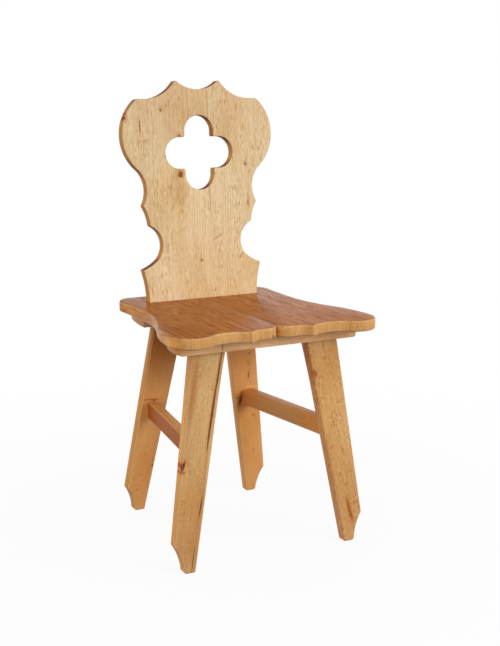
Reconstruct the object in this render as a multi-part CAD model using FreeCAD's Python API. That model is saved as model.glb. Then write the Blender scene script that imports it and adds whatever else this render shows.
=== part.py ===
"""Board chair in solid pine: shaped back with a four-lobed hand hold, two-board seat, splayed board legs.

Millimetres. The origin is on the floor under the middle of the seat, +Z is up and the chair faces -Y.
Left and right are as seen from the front. The right-hand pieces are modelled and the left-hand ones
are their mirror images, apart from the back, whose glue line lies to the right of the middle.
"""
import FreeCAD
import Part
import math
import os

V = FreeCAD.Vector

# General
FAR = 1000.0                    # reach of the blocks that only trim other shapes
SNAP = 0.001                    # points nearer than this are the same
JOINT_CLEARANCE = 0.15          # between a tenon and each wall of its mortise

# Seat, two boards edge to edge with the seam on the middle line
SEAT_HEIGHT = 450.0
SEAT_THICKNESS = 22.0
SEAT_DEPTH = 413.0
SEAT_HALF_WIDTH = 208.5         # at the front corner lobes
SEAT_LOBE_RADIUS = 41.0
SEAT_LOBE_INSET = 66.5          # from the seat's side to where the front hollow runs into the lobe
SEAT_NOTCH_DEPTH = 35.0         # all depths of the front edge are behind the lobes' front
SEAT_NOTCH_ANGLE = 60.0         # degrees between the notch's wall and the front
SEAT_CURL_END = 32.0
SEAT_CURL_DEPTH = 19.0
SEAT_CUSP_INSET = 146.5         # from the seat's side
SEAT_CUSP_DEPTH = 4.0
SEAT_FLANK_PLACE = 147.0        # behind the lobes' front, between the side's bulge and its hollow
SEAT_WAIST_INSET = 45.5         # insets are from the seat's side at the lobes
SEAT_WAIST_PLACE = 141.0        # before the back edge
SEAT_REAR_INSET = 41.5
SEAT_REAR_PLACE = 33.0          # before the back edge
SEAT_CUSP_ROUND = 3.0
SEAT_TOP_ROUND = 4.0
SEAT_UNDER_ROUND = 2.5

# Dowels across the seam
DOWEL_DIAMETER = 8.0
DOWEL_LENGTH = 40.0
DOWEL_CLEARANCE = 0.1
DOWEL_SPACING = 150.0
DOWEL_COUNT = 3

# Back board, measured up its front face from the seat; heights are along the board
BACK_THICKNESS = 20.0
BACK_TILT = 3.7                 # degrees from upright
BACK_SETBACK = 72.0             # from the seat's back edge to the board's front face
BACK_SEAM = 20.0                # glue line, right of the middle
HORN_PLACE = 47.0
HORN_HEIGHT = 435.0
CROWN_HOLLOW = 18.5
SHOULDER_START = 108.0
SHOULDER_END = 130.0
SHOULDER_HEIGHT = 398.5
SHOULDER_HOLLOW = 8.2
EAR_FOOT_HALF_WIDTH = 131.0
EAR_FOOT_HEIGHT = 260.0
EAR_BULGE = 32.5
UPPER_CUSP_HALF_WIDTH = 124.5
UPPER_CUSP_HEIGHT = 191.0
NECK_HOLLOW = 11.5
LOWER_CUSP_HALF_WIDTH = 111.5
LOWER_CUSP_HEIGHT = 151.0
CUSP_HOLLOW = 2.5
BITE_END_HALF_WIDTH = 97.0
BITE_END_HEIGHT = 84.0
BITE_HOLLOW = 17.5
FLANK_TOP_HALF_WIDTH = 130.0
FLANK_TOP_HEIGHT = 65.0
FLARE_HOLLOW = 2.0
BASE_HALF_WIDTH = 120.0
FLANK_HOLLOW = 2.5
HORN_ROUND = 5.0
SHOULDER_ROUND = 9.0
CUSP_ROUND = 2.0

# Four-lobed hand hold: two slots crossed at right angles
HOLD_HEIGHT = 292.5
HOLD_LENGTH = 147.0
HOLD_WIDTH = 62.5
HOLD_CORNER_ROUND = 3.0

# Tenons of the back, through the seat and the rear batten, each held by a key underneath
BACK_TENON_PLACE = 39.0         # middle of the tenon, from the seat's seam
BACK_TENON_WIDTH = 30.0
BACK_TENON_OUT = 30.0           # how far it stands out under the batten
KEY_WIDTH = 10.0
KEY_HEIGHT = 14.0
KEY_TAPER = 3.0
KEY_LENGTH = 50.0
KEY_DRAW = 2.0                  # room above the key inside its tenon, so that it draws the back down

# Battens under the seat
BATTEN_THICKNESS = 22.0
BATTEN_WIDTH = 92.0
BATTEN_END_BULGE = 8.0          # how far the ends bow out
BATTEN_END_ROUND = 8.0
FRONT_BATTEN_LENGTH = 360.0     # along its edges
REAR_BATTEN_LENGTH = 280.0
FRONT_BATTEN_SETBACK = 55.0     # behind the seat's front
REAR_BATTEN_SETBACK = 6.0       # before the seat's back edge

# Countersunk screws that hold the battens to the seat
SCREW_DIAMETER = 4.5
SCREW_LENGTH = 38.0
SCREW_HEAD_DIAMETER = 9.0
SCREW_HEAD_HEIGHT = 3.0
SCREW_CLEARANCE = 0.1
SCREW_DRIVE_LENGTH = 4.4
SCREW_DRIVE_WIDTH = 1.0
SCREW_DRIVE_DEPTH = 1.8
SCREW_FROM_END = 24.0
SCREW_FROM_MIDDLE = 42.0
SCREW_FROM_BACK = 24.0          # before the batten's rear edge

# Legs, tapered boards that lean sideways and to the front or back
LEG_THICKNESS = 22.0
LEG_TOP_WIDTH = 63.0
LEG_FOOT_WIDTH = 46.0           # before the foot is shaped
LEG_SPLAY = 9.0                 # degrees sideways
FRONT_LEG_RAKE = 3.8            # degrees, foot towards the front
REAR_LEG_RAKE = 7.1             # degrees, foot towards the back
LEG_FROM_BATTEN_END = 61.0
FRONT_LEG_SETBACK = 18.0        # leg's face behind the batten's front edge
REAR_LEG_SETBACK = 24.0
FOOT_WIDTH = 20.0
FOOT_HEIGHT = 57.0
FOOT_HOLLOW = 4.0
FOOT_ROUND = 6.0
LEG_TENON_WIDTH = 34.0
LEG_TENON_THICKNESS = 14.0
LEG_TENON_SHORT = 0.5           # below the seat's underside
WEDGE_TOP = 3.5
WEDGE_TIP = 0.8
WEDGE_LENGTH = 17.0

# Stretchers between the front and rear leg of each side
STRETCHER_TOP = 241.0
STRETCHER_HEIGHT = 35.0
STRETCHER_THICKNESS = 21.0
STRETCHER_TENON_HEIGHT = 24.0
STRETCHER_TENON_THICKNESS = 11.0
STRETCHER_TENON_LENGTH = 13.0

# Places that follow from the sizes above
SEAT_FRONT = -SEAT_DEPTH / 2
SEAT_BACK = SEAT_DEPTH / 2
SEAT_UNDERSIDE = SEAT_HEIGHT - SEAT_THICKNESS
BATTEN_UNDERSIDE = SEAT_UNDERSIDE - BATTEN_THICKNESS
BACK_FACE = SEAT_BACK - BACK_SETBACK
FRONT_BATTEN_FACE = SEAT_FRONT + FRONT_BATTEN_SETBACK
REAR_BATTEN_FACE = SEAT_BACK - REAR_BATTEN_SETBACK - BATTEN_WIDTH


def edge(start, end, rise=0.0):
    """Straight edge, or an arc that rises to the left of its chord by the given height."""
    if rise == 0.0:
        return Part.LineSegment(start, end).toShape()
    along = end.sub(start)
    left = V(-along.y, along.x, 0).normalize()
    middle = start.add(end).multiply(0.5).add(left.multiply(rise))
    return Part.Arc(start, middle, end).toShape()


def prism(corners, depth):
    """Solid on a closed outline of (x, y, rise to the next corner), raised along z by depth."""
    points = [V(x, y, 0) for x, y, _ in corners]
    ends = points[1:] + points[:1]
    edges = [edge(a, b, corner[2]) for a, b, corner in zip(points, ends, corners)]
    return Part.Face(Part.Wire(edges)).extrude(V(0, 0, depth))


def block(low, high):
    """Box between two opposite corners."""
    size = high.sub(low)
    return Part.makeBox(size.x, size.y, size.z, low)


def placed(shape, place):
    """Copy of a shape, moved from its own frame to where it belongs."""
    moved = shape.copy()
    moved.Placement = place.multiply(moved.Placement)
    return moved


def mirrored(shape):
    """Left-hand twin of a right-hand piece."""
    return shape.mirror(V(0, 0, 0), V(1, 0, 0))


def between(shape, low, high):
    """What lies between two heights above the floor."""
    return shape.common(block(V(-FAR, -FAR, low), V(FAR, FAR, high)))


def rounded(solid, places, radius):
    """Rounds the edges along z that stand on the given (x, y) places."""
    chosen = []
    for line in solid.Edges:
        first, last = line.Vertexes[0].Point, line.Vertexes[-1].Point
        upright = math.hypot(first.x - last.x, first.y - last.y) < SNAP
        if upright and any(math.hypot(first.x - x, first.y - y) < SNAP for x, y in places):
            chosen.append(line)
    return solid.makeFillet(radius, chosen)


def eased(solid, height, radius):
    """Rounds the level edges at a height, apart from the straight one along the seam."""
    chosen = []
    for line in solid.Edges:
        box = line.BoundBox
        if abs(box.ZMin - height) < SNAP and abs(box.ZMax - height) < SNAP and box.XMax > SNAP:
            chosen.append(line)
    return solid.makeFillet(radius, chosen)


def smooth(points, heading):
    """Rises of the arcs that join points with no kink.

    The first arc leaves along heading, in radians from +x; the heading at the end comes back too.
    """
    rises = []
    for start, end in zip(points, points[1:]):
        run = end.sub(start)
        turn = math.atan2(run.y, run.x) - heading
        turn = math.remainder(turn, 2 * math.pi)
        rises.append(-run.Length / 2 * math.tan(turn / 2))
        heading += 2 * turn
    return rises, heading


def seat_outline():
    """Right half of the seat seen from above, from the notch at the seam round to the back."""
    notch = V(0, SEAT_FRONT + SEAT_NOTCH_DEPTH, 0)
    curl = V(SEAT_CURL_END, SEAT_FRONT + SEAT_CURL_DEPTH, 0)
    cusp = V(SEAT_HALF_WIDTH - SEAT_CUSP_INSET, SEAT_FRONT + SEAT_CUSP_DEPTH, 0)
    curl_rises, _ = smooth([notch, curl, cusp], -math.radians(SEAT_NOTCH_ANGLE))
    lobe_middle = V(SEAT_HALF_WIDTH - SEAT_LOBE_RADIUS, SEAT_FRONT + SEAT_LOBE_RADIUS, 0)
    inward = math.acos((SEAT_LOBE_INSET - SEAT_LOBE_RADIUS) / SEAT_LOBE_RADIUS)
    lobe_start = lobe_middle.sub(V(math.cos(inward), math.sin(inward), 0).multiply(SEAT_LOBE_RADIUS))
    hollow_rises, _ = smooth([lobe_start, cusp], math.pi / 2 + inward)
    waist = V(SEAT_HALF_WIDTH - SEAT_WAIST_INSET, SEAT_BACK - SEAT_WAIST_PLACE, 0)
    rear = V(SEAT_HALF_WIDTH - SEAT_REAR_INSET, SEAT_BACK - SEAT_REAR_PLACE, 0)
    lobe_end = V(SEAT_HALF_WIDTH, lobe_middle.y, 0)
    run = waist.sub(lobe_end)
    flank = lobe_end.add(run.multiply((SEAT_FLANK_PLACE - SEAT_LOBE_RADIUS) / run.y))
    lobe_rises, heading = smooth([lobe_start, lobe_end], inward - math.pi / 2)
    side_rises, heading = smooth([lobe_end, flank, waist, rear], heading)
    corner = V(rear.x + SEAT_REAR_PLACE / math.tan((heading + math.pi) / 2), SEAT_BACK, 0)
    corner_rises, _ = smooth([rear, corner], heading)
    points = [notch, curl, cusp, lobe_start, lobe_end, flank, waist, rear, corner, V(0, SEAT_BACK, 0)]
    rises = curl_rises + [-hollow_rises[0]] + lobe_rises + side_rises + corner_rises + [0.0, 0.0]
    return [(point.x, point.y, rise) for point, rise in zip(points, rises)]


def dowels(gap=0.0):
    """Round pins across the seam, in a row from front to back."""
    pins = []
    for index in range(DOWEL_COUNT):
        place = (index - (DOWEL_COUNT - 1) / 2) * DOWEL_SPACING
        end = V(-DOWEL_LENGTH / 2 - gap, place, SEAT_UNDERSIDE + SEAT_THICKNESS / 2)
        pins.append(Part.makeCylinder(DOWEL_DIAMETER / 2 + gap, DOWEL_LENGTH + 2 * gap, end, V(1, 0, 0)))
    return pins


def seat_board():
    """Right-hand seat board, with its mortise for the back and holes for dowels and screws."""
    cusp = (SEAT_HALF_WIDTH - SEAT_CUSP_INSET, SEAT_FRONT + SEAT_CUSP_DEPTH)
    board = rounded(prism(seat_outline(), SEAT_THICKNESS), [cusp], SEAT_CUSP_ROUND)
    board = placed(board, FreeCAD.Placement(V(0, 0, SEAT_UNDERSIDE), FreeCAD.Rotation()))
    board = eased(board, SEAT_HEIGHT, SEAT_TOP_ROUND)
    board = eased(board, SEAT_UNDERSIDE, SEAT_UNDER_ROUND)
    screws = batten_screws(FRONT_BATTEN_LENGTH, FRONT_BATTEN_FACE, SCREW_CLEARANCE)
    screws += batten_screws(REAR_BATTEN_LENGTH, REAR_BATTEN_FACE, SCREW_CLEARANCE)
    return board.cut([back_tenon(JOINT_CLEARANCE)] + dowels(DOWEL_CLEARANCE) + screws)


def back_place():
    """Frame of the back board: x across, y up its front face from the seat, z towards the sitter."""
    return FreeCAD.Placement(V(0, BACK_FACE, SEAT_HEIGHT), FreeCAD.Rotation(V(1, 0, 0), 90 - BACK_TILT))


def back_outline():
    """Whole back board, up its right-hand side from the base and down the left."""
    right = [
        (BASE_HALF_WIDTH, -BACK_THICKNESS, 0),
        (BASE_HALF_WIDTH, 0, FLANK_HOLLOW),
        (FLANK_TOP_HALF_WIDTH, FLANK_TOP_HEIGHT, FLARE_HOLLOW),
        (BITE_END_HALF_WIDTH, BITE_END_HEIGHT, BITE_HOLLOW),
        (LOWER_CUSP_HALF_WIDTH, LOWER_CUSP_HEIGHT, CUSP_HOLLOW),
        (UPPER_CUSP_HALF_WIDTH, UPPER_CUSP_HEIGHT, NECK_HOLLOW),
        (EAR_FOOT_HALF_WIDTH, EAR_FOOT_HEIGHT, -EAR_BULGE),
        (SHOULDER_END, SHOULDER_HEIGHT, 0),
        (SHOULDER_START, SHOULDER_HEIGHT, SHOULDER_HOLLOW),
        (HORN_PLACE, HORN_HEIGHT, CROWN_HOLLOW),
    ]
    rises = [0.0] + [rise for _, _, rise in right[:-1]]
    left = [(-x, y, rise) for (x, y, _), rise in zip(reversed(right), reversed(rises))]
    return right + left


def hand_hold():
    """Two round-ended slots, one across and one upright, right through the back board."""
    straight = (HOLD_LENGTH - HOLD_WIDTH) / 2
    half = HOLD_WIDTH / 2
    corners = [(-straight, -half, 0), (straight, -half, -half), (straight, half, 0), (-straight, half, -half)]
    level = prism(corners, -BACK_THICKNESS)
    upright = placed(level, FreeCAD.Placement(V(0, 0, 0), FreeCAD.Rotation(V(0, 0, 1), 90)))
    return [slot.translated(V(0, HOLD_HEIGHT, 0)) for slot in (level, upright)]


def back_board():
    """The shaped board above the seat, before it is parted along its glue line."""
    board = prism(back_outline(), -BACK_THICKNESS)
    cusps = [
        (FLANK_TOP_HALF_WIDTH, FLANK_TOP_HEIGHT),
        (LOWER_CUSP_HALF_WIDTH, LOWER_CUSP_HEIGHT),
        (UPPER_CUSP_HALF_WIDTH, UPPER_CUSP_HEIGHT),
    ]
    rounds = [
        ([(HORN_PLACE, HORN_HEIGHT)], HORN_ROUND),
        ([(SHOULDER_END, SHOULDER_HEIGHT)], SHOULDER_ROUND),
        (cusps, CUSP_ROUND),
    ]
    for places, radius in rounds:
        board = rounded(board, places + [(-x, y) for x, y in places], radius)
    board = board.cut(hand_hold())
    half = HOLD_WIDTH / 2
    inner = [(x, HOLD_HEIGHT + y) for x in (-half, half) for y in (-half, half)]
    board = placed(rounded(board, inner, HOLD_CORNER_ROUND), back_place())
    return between(board, SEAT_HEIGHT, FAR)


def back_tenon(gap=0.0):
    """Right-hand tenon of the back, long enough to pass through the seat and the rear batten."""
    half = BACK_TENON_WIDTH / 2 + gap
    low = V(BACK_TENON_PLACE - half, -FAR / 2, -BACK_THICKNESS - gap)
    high = V(BACK_TENON_PLACE + half, BACK_THICKNESS, gap)
    return placed(block(low, high), back_place())


def back_key(gap=0.0, draw=0.0):
    """Tapered key through the right-hand tenon, tight under the rear batten."""
    slope = math.tan(math.radians(BACK_TILT))
    depth = SEAT_HEIGHT - BATTEN_UNDERSIDE
    middle = BACK_FACE - depth * slope + BACK_THICKNESS / 2
    front, back = middle - KEY_LENGTH / 2, middle + KEY_LENGTH / 2
    top = BATTEN_UNDERSIDE + draw
    bottom = BATTEN_UNDERSIDE - KEY_HEIGHT
    corners = [(front, bottom, 0), (back, bottom + KEY_TAPER, 0), (back, top, 0), (front, top, 0)]
    start = V(BACK_TENON_PLACE - KEY_WIDTH / 2 - gap, 0, 0)
    across = FreeCAD.Placement(start, FreeCAD.Rotation(V(1, 1, 1), 120))
    return placed(prism(corners, KEY_WIDTH + 2 * gap), across)


def back_staves():
    """Left and right stave of the back, each with its tenon."""
    board = back_board()
    end = BATTEN_UNDERSIDE - BACK_TENON_OUT
    tenon = between(back_tenon(), end, SEAT_HEIGHT)
    tenon = tenon.cut(back_key(JOINT_CLEARANCE, KEY_DRAW))
    left = board.common(block(V(-FAR, -FAR, 0), V(BACK_SEAM, FAR, FAR))).fuse(mirrored(tenon))
    right = board.common(block(V(BACK_SEAM, -FAR, 0), V(FAR, FAR, FAR))).fuse(tenon)
    return left.removeSplitter(), right.removeSplitter()


def screw(place, gap=0.0):
    """Countersunk screw that points up from the batten's underside."""
    shank = SCREW_DIAMETER / 2 + gap
    head = SCREW_HEAD_DIAMETER / 2 + gap
    up = V(0, 0, 1)
    body = Part.makeCone(head, shank, SCREW_HEAD_HEIGHT, place, up)
    return body.fuse(Part.makeCylinder(shank, SCREW_LENGTH + gap, place, up)).removeSplitter()


def batten_screws(length, face, gap=0.0):
    """Screws of one batten, in a row near its rear edge."""
    outer = length / 2 - SCREW_FROM_END
    row = face + BATTEN_WIDTH - SCREW_FROM_BACK
    places = [V(x, row, BATTEN_UNDERSIDE) for x in (-outer, -SCREW_FROM_MIDDLE, SCREW_FROM_MIDDLE, outer)]
    return [screw(place, gap) for place in places]


def recessed(body):
    """Screw with its cross recess."""
    foot = body.BoundBox
    middle = V(foot.Center.x, foot.Center.y, foot.ZMin)
    long, short = SCREW_DRIVE_LENGTH / 2, SCREW_DRIVE_WIDTH / 2
    bars = [block(V(-x, -y, 0), V(x, y, SCREW_DRIVE_DEPTH)) for x, y in ((long, short), (short, long))]
    return body.cut([bar.translated(middle) for bar in bars])


def batten(length, face, cutters):
    """Board under the seat with bowed ends, rounded along their lower edges."""
    half, back = length / 2, face + BATTEN_WIDTH
    corners = [
        (-half, face, 0),
        (half, face, -BATTEN_END_BULGE),
        (half, back, 0),
        (-half, back, -BATTEN_END_BULGE),
    ]
    board = prism(corners, BATTEN_THICKNESS)
    boxes = [(line, line.BoundBox) for line in board.Edges]
    ends = [line for line, box in boxes if box.ZMax < SNAP and box.XLength < box.YLength]
    board = board.makeFillet(BATTEN_END_ROUND, ends).translated(V(0, 0, BATTEN_UNDERSIDE))
    return board.cut(cutters + batten_screws(length, face, SCREW_CLEARANCE))


def leg_place(length, face, setback, rake):
    """Frame of a right-hand leg: x across, y up its middle line from the shoulder, z out of its face."""
    point = V(length / 2 - LEG_FROM_BATTEN_END, face + setback, BATTEN_UNDERSIDE)
    lean = FreeCAD.Rotation(V(0, 0, 1), LEG_SPLAY)
    return FreeCAD.Placement(point, FreeCAD.Rotation(V(1, 0, 0), 90 - rake).multiply(lean))


def leg_board(place):
    """Tapered board from the floor to the batten, its outer side cut hollow above the foot."""
    up = place.Rotation.multVec(V(0, 1, 0))
    length = BATTEN_UNDERSIDE / up.z
    top, foot = LEG_TOP_WIDTH / 2, LEG_FOOT_WIDTH / 2
    taper = (top - foot) / length
    spare = LEG_TOP_WIDTH
    knee = FOOT_HEIGHT - length
    knee_half = top + taper * knee
    corners = [
        (-top - taper * spare, spare, 0),
        (-foot + taper * spare, -length - spare, 0),
        (FOOT_WIDTH - foot, -length - spare, 0),
        (FOOT_WIDTH - foot, -length, FOOT_HOLLOW),
        (knee_half, knee, 0),
        (top + taper * spare, spare, 0),
    ]
    board = rounded(prism(corners, -LEG_THICKNESS), [(knee_half, knee)], FOOT_ROUND)
    return between(placed(board, place), 0, BATTEN_UNDERSIDE)


def leg_tenon(place, gap=0.0):
    """Tenon on a leg's top, left long."""
    half = LEG_TENON_WIDTH / 2 + gap
    shoulder = (LEG_THICKNESS - LEG_TENON_THICKNESS) / 2 - gap
    low = V(-half, -LEG_TENON_THICKNESS, shoulder - LEG_THICKNESS)
    return placed(block(low, V(half, FAR, -shoulder)), place)


def leg_wedge(place):
    """Wedge in the saw cut of a leg's tenon, flush with the tenon's top."""
    up = place.Rotation.multVec(V(0, 1, 0))
    middle = place.multVec(V(0, 0, -LEG_THICKNESS / 2))
    top = (SEAT_UNDERSIDE - LEG_TENON_SHORT - middle.z) / up.z
    spread = (WEDGE_TOP - WEDGE_TIP) / WEDGE_LENGTH / 2
    tip, spare = top - WEDGE_LENGTH, LEG_TENON_THICKNESS
    wide = WEDGE_TOP / 2 + spread * spare
    thin = WEDGE_TIP / 2
    corners = [(-thin, tip, 0), (thin, tip, 0), (wide, top + spare, 0), (-wide, top + spare, 0)]
    shoulder = (LEG_THICKNESS - LEG_TENON_THICKNESS) / 2
    wedge = prism(corners, -LEG_TENON_THICKNESS).translated(V(0, 0, -shoulder))
    return between(placed(wedge, place), BATTEN_UNDERSIDE, SEAT_UNDERSIDE - LEG_TENON_SHORT)


def leg(place, wedge, mortise):
    """Whole leg with its tenon, the saw cut for the wedge and the mortise for the stretcher."""
    tenon = between(leg_tenon(place), BATTEN_UNDERSIDE, SEAT_UNDERSIDE - LEG_TENON_SHORT)
    return leg_board(place).fuse(tenon).removeSplitter().cut([wedge, mortise])


def stretcher_bar(front, rear, height, thickness):
    """Endless level bar through the middles of the two legs on the right."""
    level = STRETCHER_TOP - STRETCHER_HEIGHT / 2
    ends = []
    for place in (front, rear):
        middle = place.multVec(V(0, 0, -LEG_THICKNESS / 2))
        up = place.Rotation.multVec(V(0, 1, 0))
        ends.append(middle.add(up.multiply((level - middle.z) / up.z)))
    run = ends[1].sub(ends[0])
    turn = FreeCAD.Rotation(V(0, 0, 1), math.degrees(math.atan2(run.y, run.x)))
    bar = block(V(-FAR, -thickness / 2, -height / 2), V(FAR, thickness / 2, height / 2))
    return placed(bar, FreeCAD.Placement(ends[0], turn))


def fitted(bar, front, rear, depth):
    """Bar from the front leg's rear face to the rear leg's front face, and into both by a depth."""
    before = block(V(-FAR, -FAR, depth - LEG_THICKNESS), V(FAR, FAR, FAR))
    behind = block(V(-FAR, -FAR, -FAR), V(FAR, FAR, -depth))
    return bar.cut([placed(before, front), placed(behind, rear)])


def stretcher_tenons(front, rear, gap=0.0):
    """Bar of both tenons of a stretcher."""
    height = STRETCHER_TENON_HEIGHT + 2 * gap
    thickness = STRETCHER_TENON_THICKNESS + 2 * gap
    bar = stretcher_bar(front, rear, height, thickness)
    return fitted(bar, front, rear, STRETCHER_TENON_LENGTH + gap)


def stretcher(front, rear):
    """Rail between the legs of one side, with a blind tenon at each end."""
    bar = stretcher_bar(front, rear, STRETCHER_HEIGHT, STRETCHER_THICKNESS)
    return fitted(bar, front, rear, 0.0).fuse(stretcher_tenons(front, rear)).removeSplitter()


def chair():
    """All pieces of the chair by name."""
    front = leg_place(FRONT_BATTEN_LENGTH, FRONT_BATTEN_FACE, FRONT_LEG_SETBACK, FRONT_LEG_RAKE)
    rear = leg_place(REAR_BATTEN_LENGTH, REAR_BATTEN_FACE, REAR_LEG_SETBACK, -REAR_LEG_RAKE)
    mortise = stretcher_tenons(front, rear, JOINT_CLEARANCE)
    front_tenon = leg_tenon(front, JOINT_CLEARANCE)
    rear_tenon = leg_tenon(rear, JOINT_CLEARANCE)
    tenon = back_tenon(JOINT_CLEARANCE)
    front_cutters = [front_tenon, mirrored(front_tenon)]
    rear_cutters = [rear_tenon, mirrored(rear_tenon), tenon, mirrored(tenon)]
    pieces = {
        "front_batten": batten(FRONT_BATTEN_LENGTH, FRONT_BATTEN_FACE, front_cutters),
        "rear_batten": batten(REAR_BATTEN_LENGTH, REAR_BATTEN_FACE, rear_cutters),
        "seat_dowels": Part.makeCompound(dowels()),
    }
    pieces["back_stave_left"], pieces["back_stave_right"] = back_staves()
    for name, length, face in (
        ("front_batten_screws", FRONT_BATTEN_LENGTH, FRONT_BATTEN_FACE),
        ("rear_batten_screws", REAR_BATTEN_LENGTH, REAR_BATTEN_FACE),
    ):
        pieces[name] = Part.makeCompound([recessed(body) for body in batten_screws(length, face)])
    front_wedge, rear_wedge = leg_wedge(front), leg_wedge(rear)
    right_hand = {
        "seat_board_{}": seat_board(),
        "front_{}_leg": leg(front, front_wedge, mortise),
        "rear_{}_leg": leg(rear, rear_wedge, mortise),
        "front_{}_leg_wedge": front_wedge,
        "rear_{}_leg_wedge": rear_wedge,
        "{}_stretcher": stretcher(front, rear),
        "back_key_{}": back_key(),
    }
    for name, piece in right_hand.items():
        pieces[name.format("right")] = piece
        pieces[name.format("left")] = mirrored(piece)
    return pieces


os.makedirs("parts", exist_ok=True)
for node, shape in chair().items():
    shape.exportStep("parts/" + node + ".step")
    print(node, "valid", shape.isValid(), "solids", len(shape.Solids), "volume", round(shape.Volume))
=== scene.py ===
"""Looks of a pine board chair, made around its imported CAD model.

Sizes are in millimetres and are drawn in metres, in the frame of the CAD model: the floor is at z = 0, the
chair faces -Y and left and right are as seen from the front. Each visible board is modelled again with soft
edges, its joints and its knots, cracks and chips, and takes the place of its plain CAD node.
"""
import logging
import math
from contextlib import contextmanager
from dataclasses import dataclass, replace
from enum import Enum
from typing import Callable, Iterator, Sequence, Union

import bmesh
import bpy
from mathutils import Matrix, Vector


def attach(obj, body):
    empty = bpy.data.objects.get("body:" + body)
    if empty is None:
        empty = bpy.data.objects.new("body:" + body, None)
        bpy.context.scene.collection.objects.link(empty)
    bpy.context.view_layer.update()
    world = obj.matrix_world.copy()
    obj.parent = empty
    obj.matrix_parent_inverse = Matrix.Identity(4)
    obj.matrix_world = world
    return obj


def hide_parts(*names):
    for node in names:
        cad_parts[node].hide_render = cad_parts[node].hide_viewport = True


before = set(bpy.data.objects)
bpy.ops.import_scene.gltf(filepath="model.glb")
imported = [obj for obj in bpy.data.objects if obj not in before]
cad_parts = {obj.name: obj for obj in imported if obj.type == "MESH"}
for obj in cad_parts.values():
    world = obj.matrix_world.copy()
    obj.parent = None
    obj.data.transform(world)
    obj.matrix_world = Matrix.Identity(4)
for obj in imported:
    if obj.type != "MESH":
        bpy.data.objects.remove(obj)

LOG = logging.getLogger("board_chair")
MM = 0.001
BODY = "root"
WELD = 1e-6                     # points of a mesh nearer than this are one, in metres
STROKE_STEP = 2.0               # longest step of a curved outline
STROKE_TURN = math.radians(6)   # sharpest bend between two steps of it
SHARP = math.radians(25)        # edges that turn more than this are arrises
SMOOTH = math.radians(35)       # edges that turn less than this are shaded smooth
LEVEL = 0.9                     # the upright part of a level face's normal is more than this
ALONG = 0.99                    # directions with a larger cosine between them count as one
ON_LEVEL = 2e-5                 # points nearer than this to a level lie on it, in metres
ROUND = 0.5                     # bevel profile that is part of a circle
PEG_SIDES = 32                  # facets round a peg
LENS_SIDES = 20                 # facets round a lens
MIDDLE = 0.5                    # middle of a range from 0 to 1
QUARTER = 90                    # degrees of a quarter turn
REACH = 400.0                   # length of cutters that pass right through
JOINT_GAP = 0.15                # between a tenon and its mortise
FLUSH = 0.02                    # keeps joined faces out of one plane

EdgeTest = Callable[[bmesh.types.BMEdge], bool]
FaceTest = Callable[[bmesh.types.BMFace], bool]


class Hand(Enum):
    """Side of the chair, as seen from the front."""

    LEFT = -1
    RIGHT = 1

    @property
    def word(self) -> str:
        """Name of the side in names of pieces."""
        return self.name.lower()


class Row(Enum):
    """Front or rear of the chair."""

    FRONT = "front"
    REAR = "rear"

    def pick(self, pair: Sequence[float]) -> float:
        """Value for this row out of a front and a rear one."""
        return pair[0] if self is Row.FRONT else pair[1]


class Cut(Enum):
    """What a second piece does to a first."""

    AWAY = "DIFFERENCE"
    ON = "UNION"


@dataclass(frozen=True)
class Corner:
    """Corner of a board's outline, which runs counter-clockwise in the board's own plane.

    bow is how far the side that leaves the corner stands off its chord, inwards where it is positive.
    soft is how far from the corner its rounding begins.
    """

    x: float
    y: float
    bow: float = 0.0
    soft: float = 0.0


@dataclass(frozen=True)
class Stroke:
    """One straight or curved stroke of an outline."""

    start: Vector
    end: Vector
    bow: float = 0.0

    @property
    def run(self) -> Vector:
        """Chord of the stroke."""
        return self.end - self.start

    @property
    def radius(self) -> float:
        """Radius of a curved stroke, with the sign of its bow."""
        return (self.run.length_squared / 4 + self.bow ** 2) / (2 * self.bow)

    @property
    def centre(self) -> Vector:
        """Middle of a curved stroke's circle."""
        left = Vector((-self.run.y, self.run.x)).normalized()
        return (self.start + self.end) / 2 + left * (self.bow - self.radius)

    @property
    def sweep(self) -> float:
        """Angle that the stroke turns through.

        Returns:
            The angle in radians, counter-clockwise where it is positive.
        """
        if not self.bow:
            return 0.0
        rest = abs(self.radius) - abs(self.bow)
        return -math.copysign(2 * math.atan2(self.run.length / 2, rest), self.bow)

    @property
    def last_heading(self) -> float:
        """Direction at the stroke's end."""
        return math.atan2(self.run.y, self.run.x) + self.sweep / 2

    def trimmed(self, first: float, last: float) -> "Stroke":
        """Stroke without the stretches that two roundings take.

        Args:
            first: distance to cut off at the start.
            last: distance to cut off at the end.

        Returns:
            The shorter stroke.
        """
        if not self.bow:
            along = self.run.normalized()
            return Stroke(self.start + along * first, self.end - along * last)
        size = abs(self.radius)
        way = math.copysign(1.0, self.sweep)
        angles = [2 * math.asin(distance / 2 / size) for distance in (first, last)]
        ends = [
            self.centre + Matrix.Rotation(way * angle, 2) @ (point - self.centre)
            for point, angle in ((self.start, angles[0]), (self.end, -angles[1]))
        ]
        half = (abs(self.sweep) - sum(angles)) / 2
        return Stroke(ends[0], ends[1], math.copysign(size * (1 - math.cos(half)), self.bow))

    def draw(self) -> None:
        """Adds the stroke to the outline on the bench, from its selected end."""
        if not self.bow:
            step = self.run * MM
            bpy.ops.mesh.extrude_region_move(TRANSFORM_OT_translate={"value": (step.x, step.y, 0.0)})
            return
        length = abs(self.sweep * self.radius)
        steps = max(math.ceil(length / STROKE_STEP), math.ceil(abs(self.sweep) / STROKE_TURN))
        middle = self.centre * MM
        bpy.ops.mesh.spin(
            steps=steps,
            angle=-self.sweep,
            center=(middle.x, middle.y, 0.0),
            axis=(0.0, 0.0, 1.0),
            dupli=False,
            use_auto_merge=False,
        )


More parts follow.
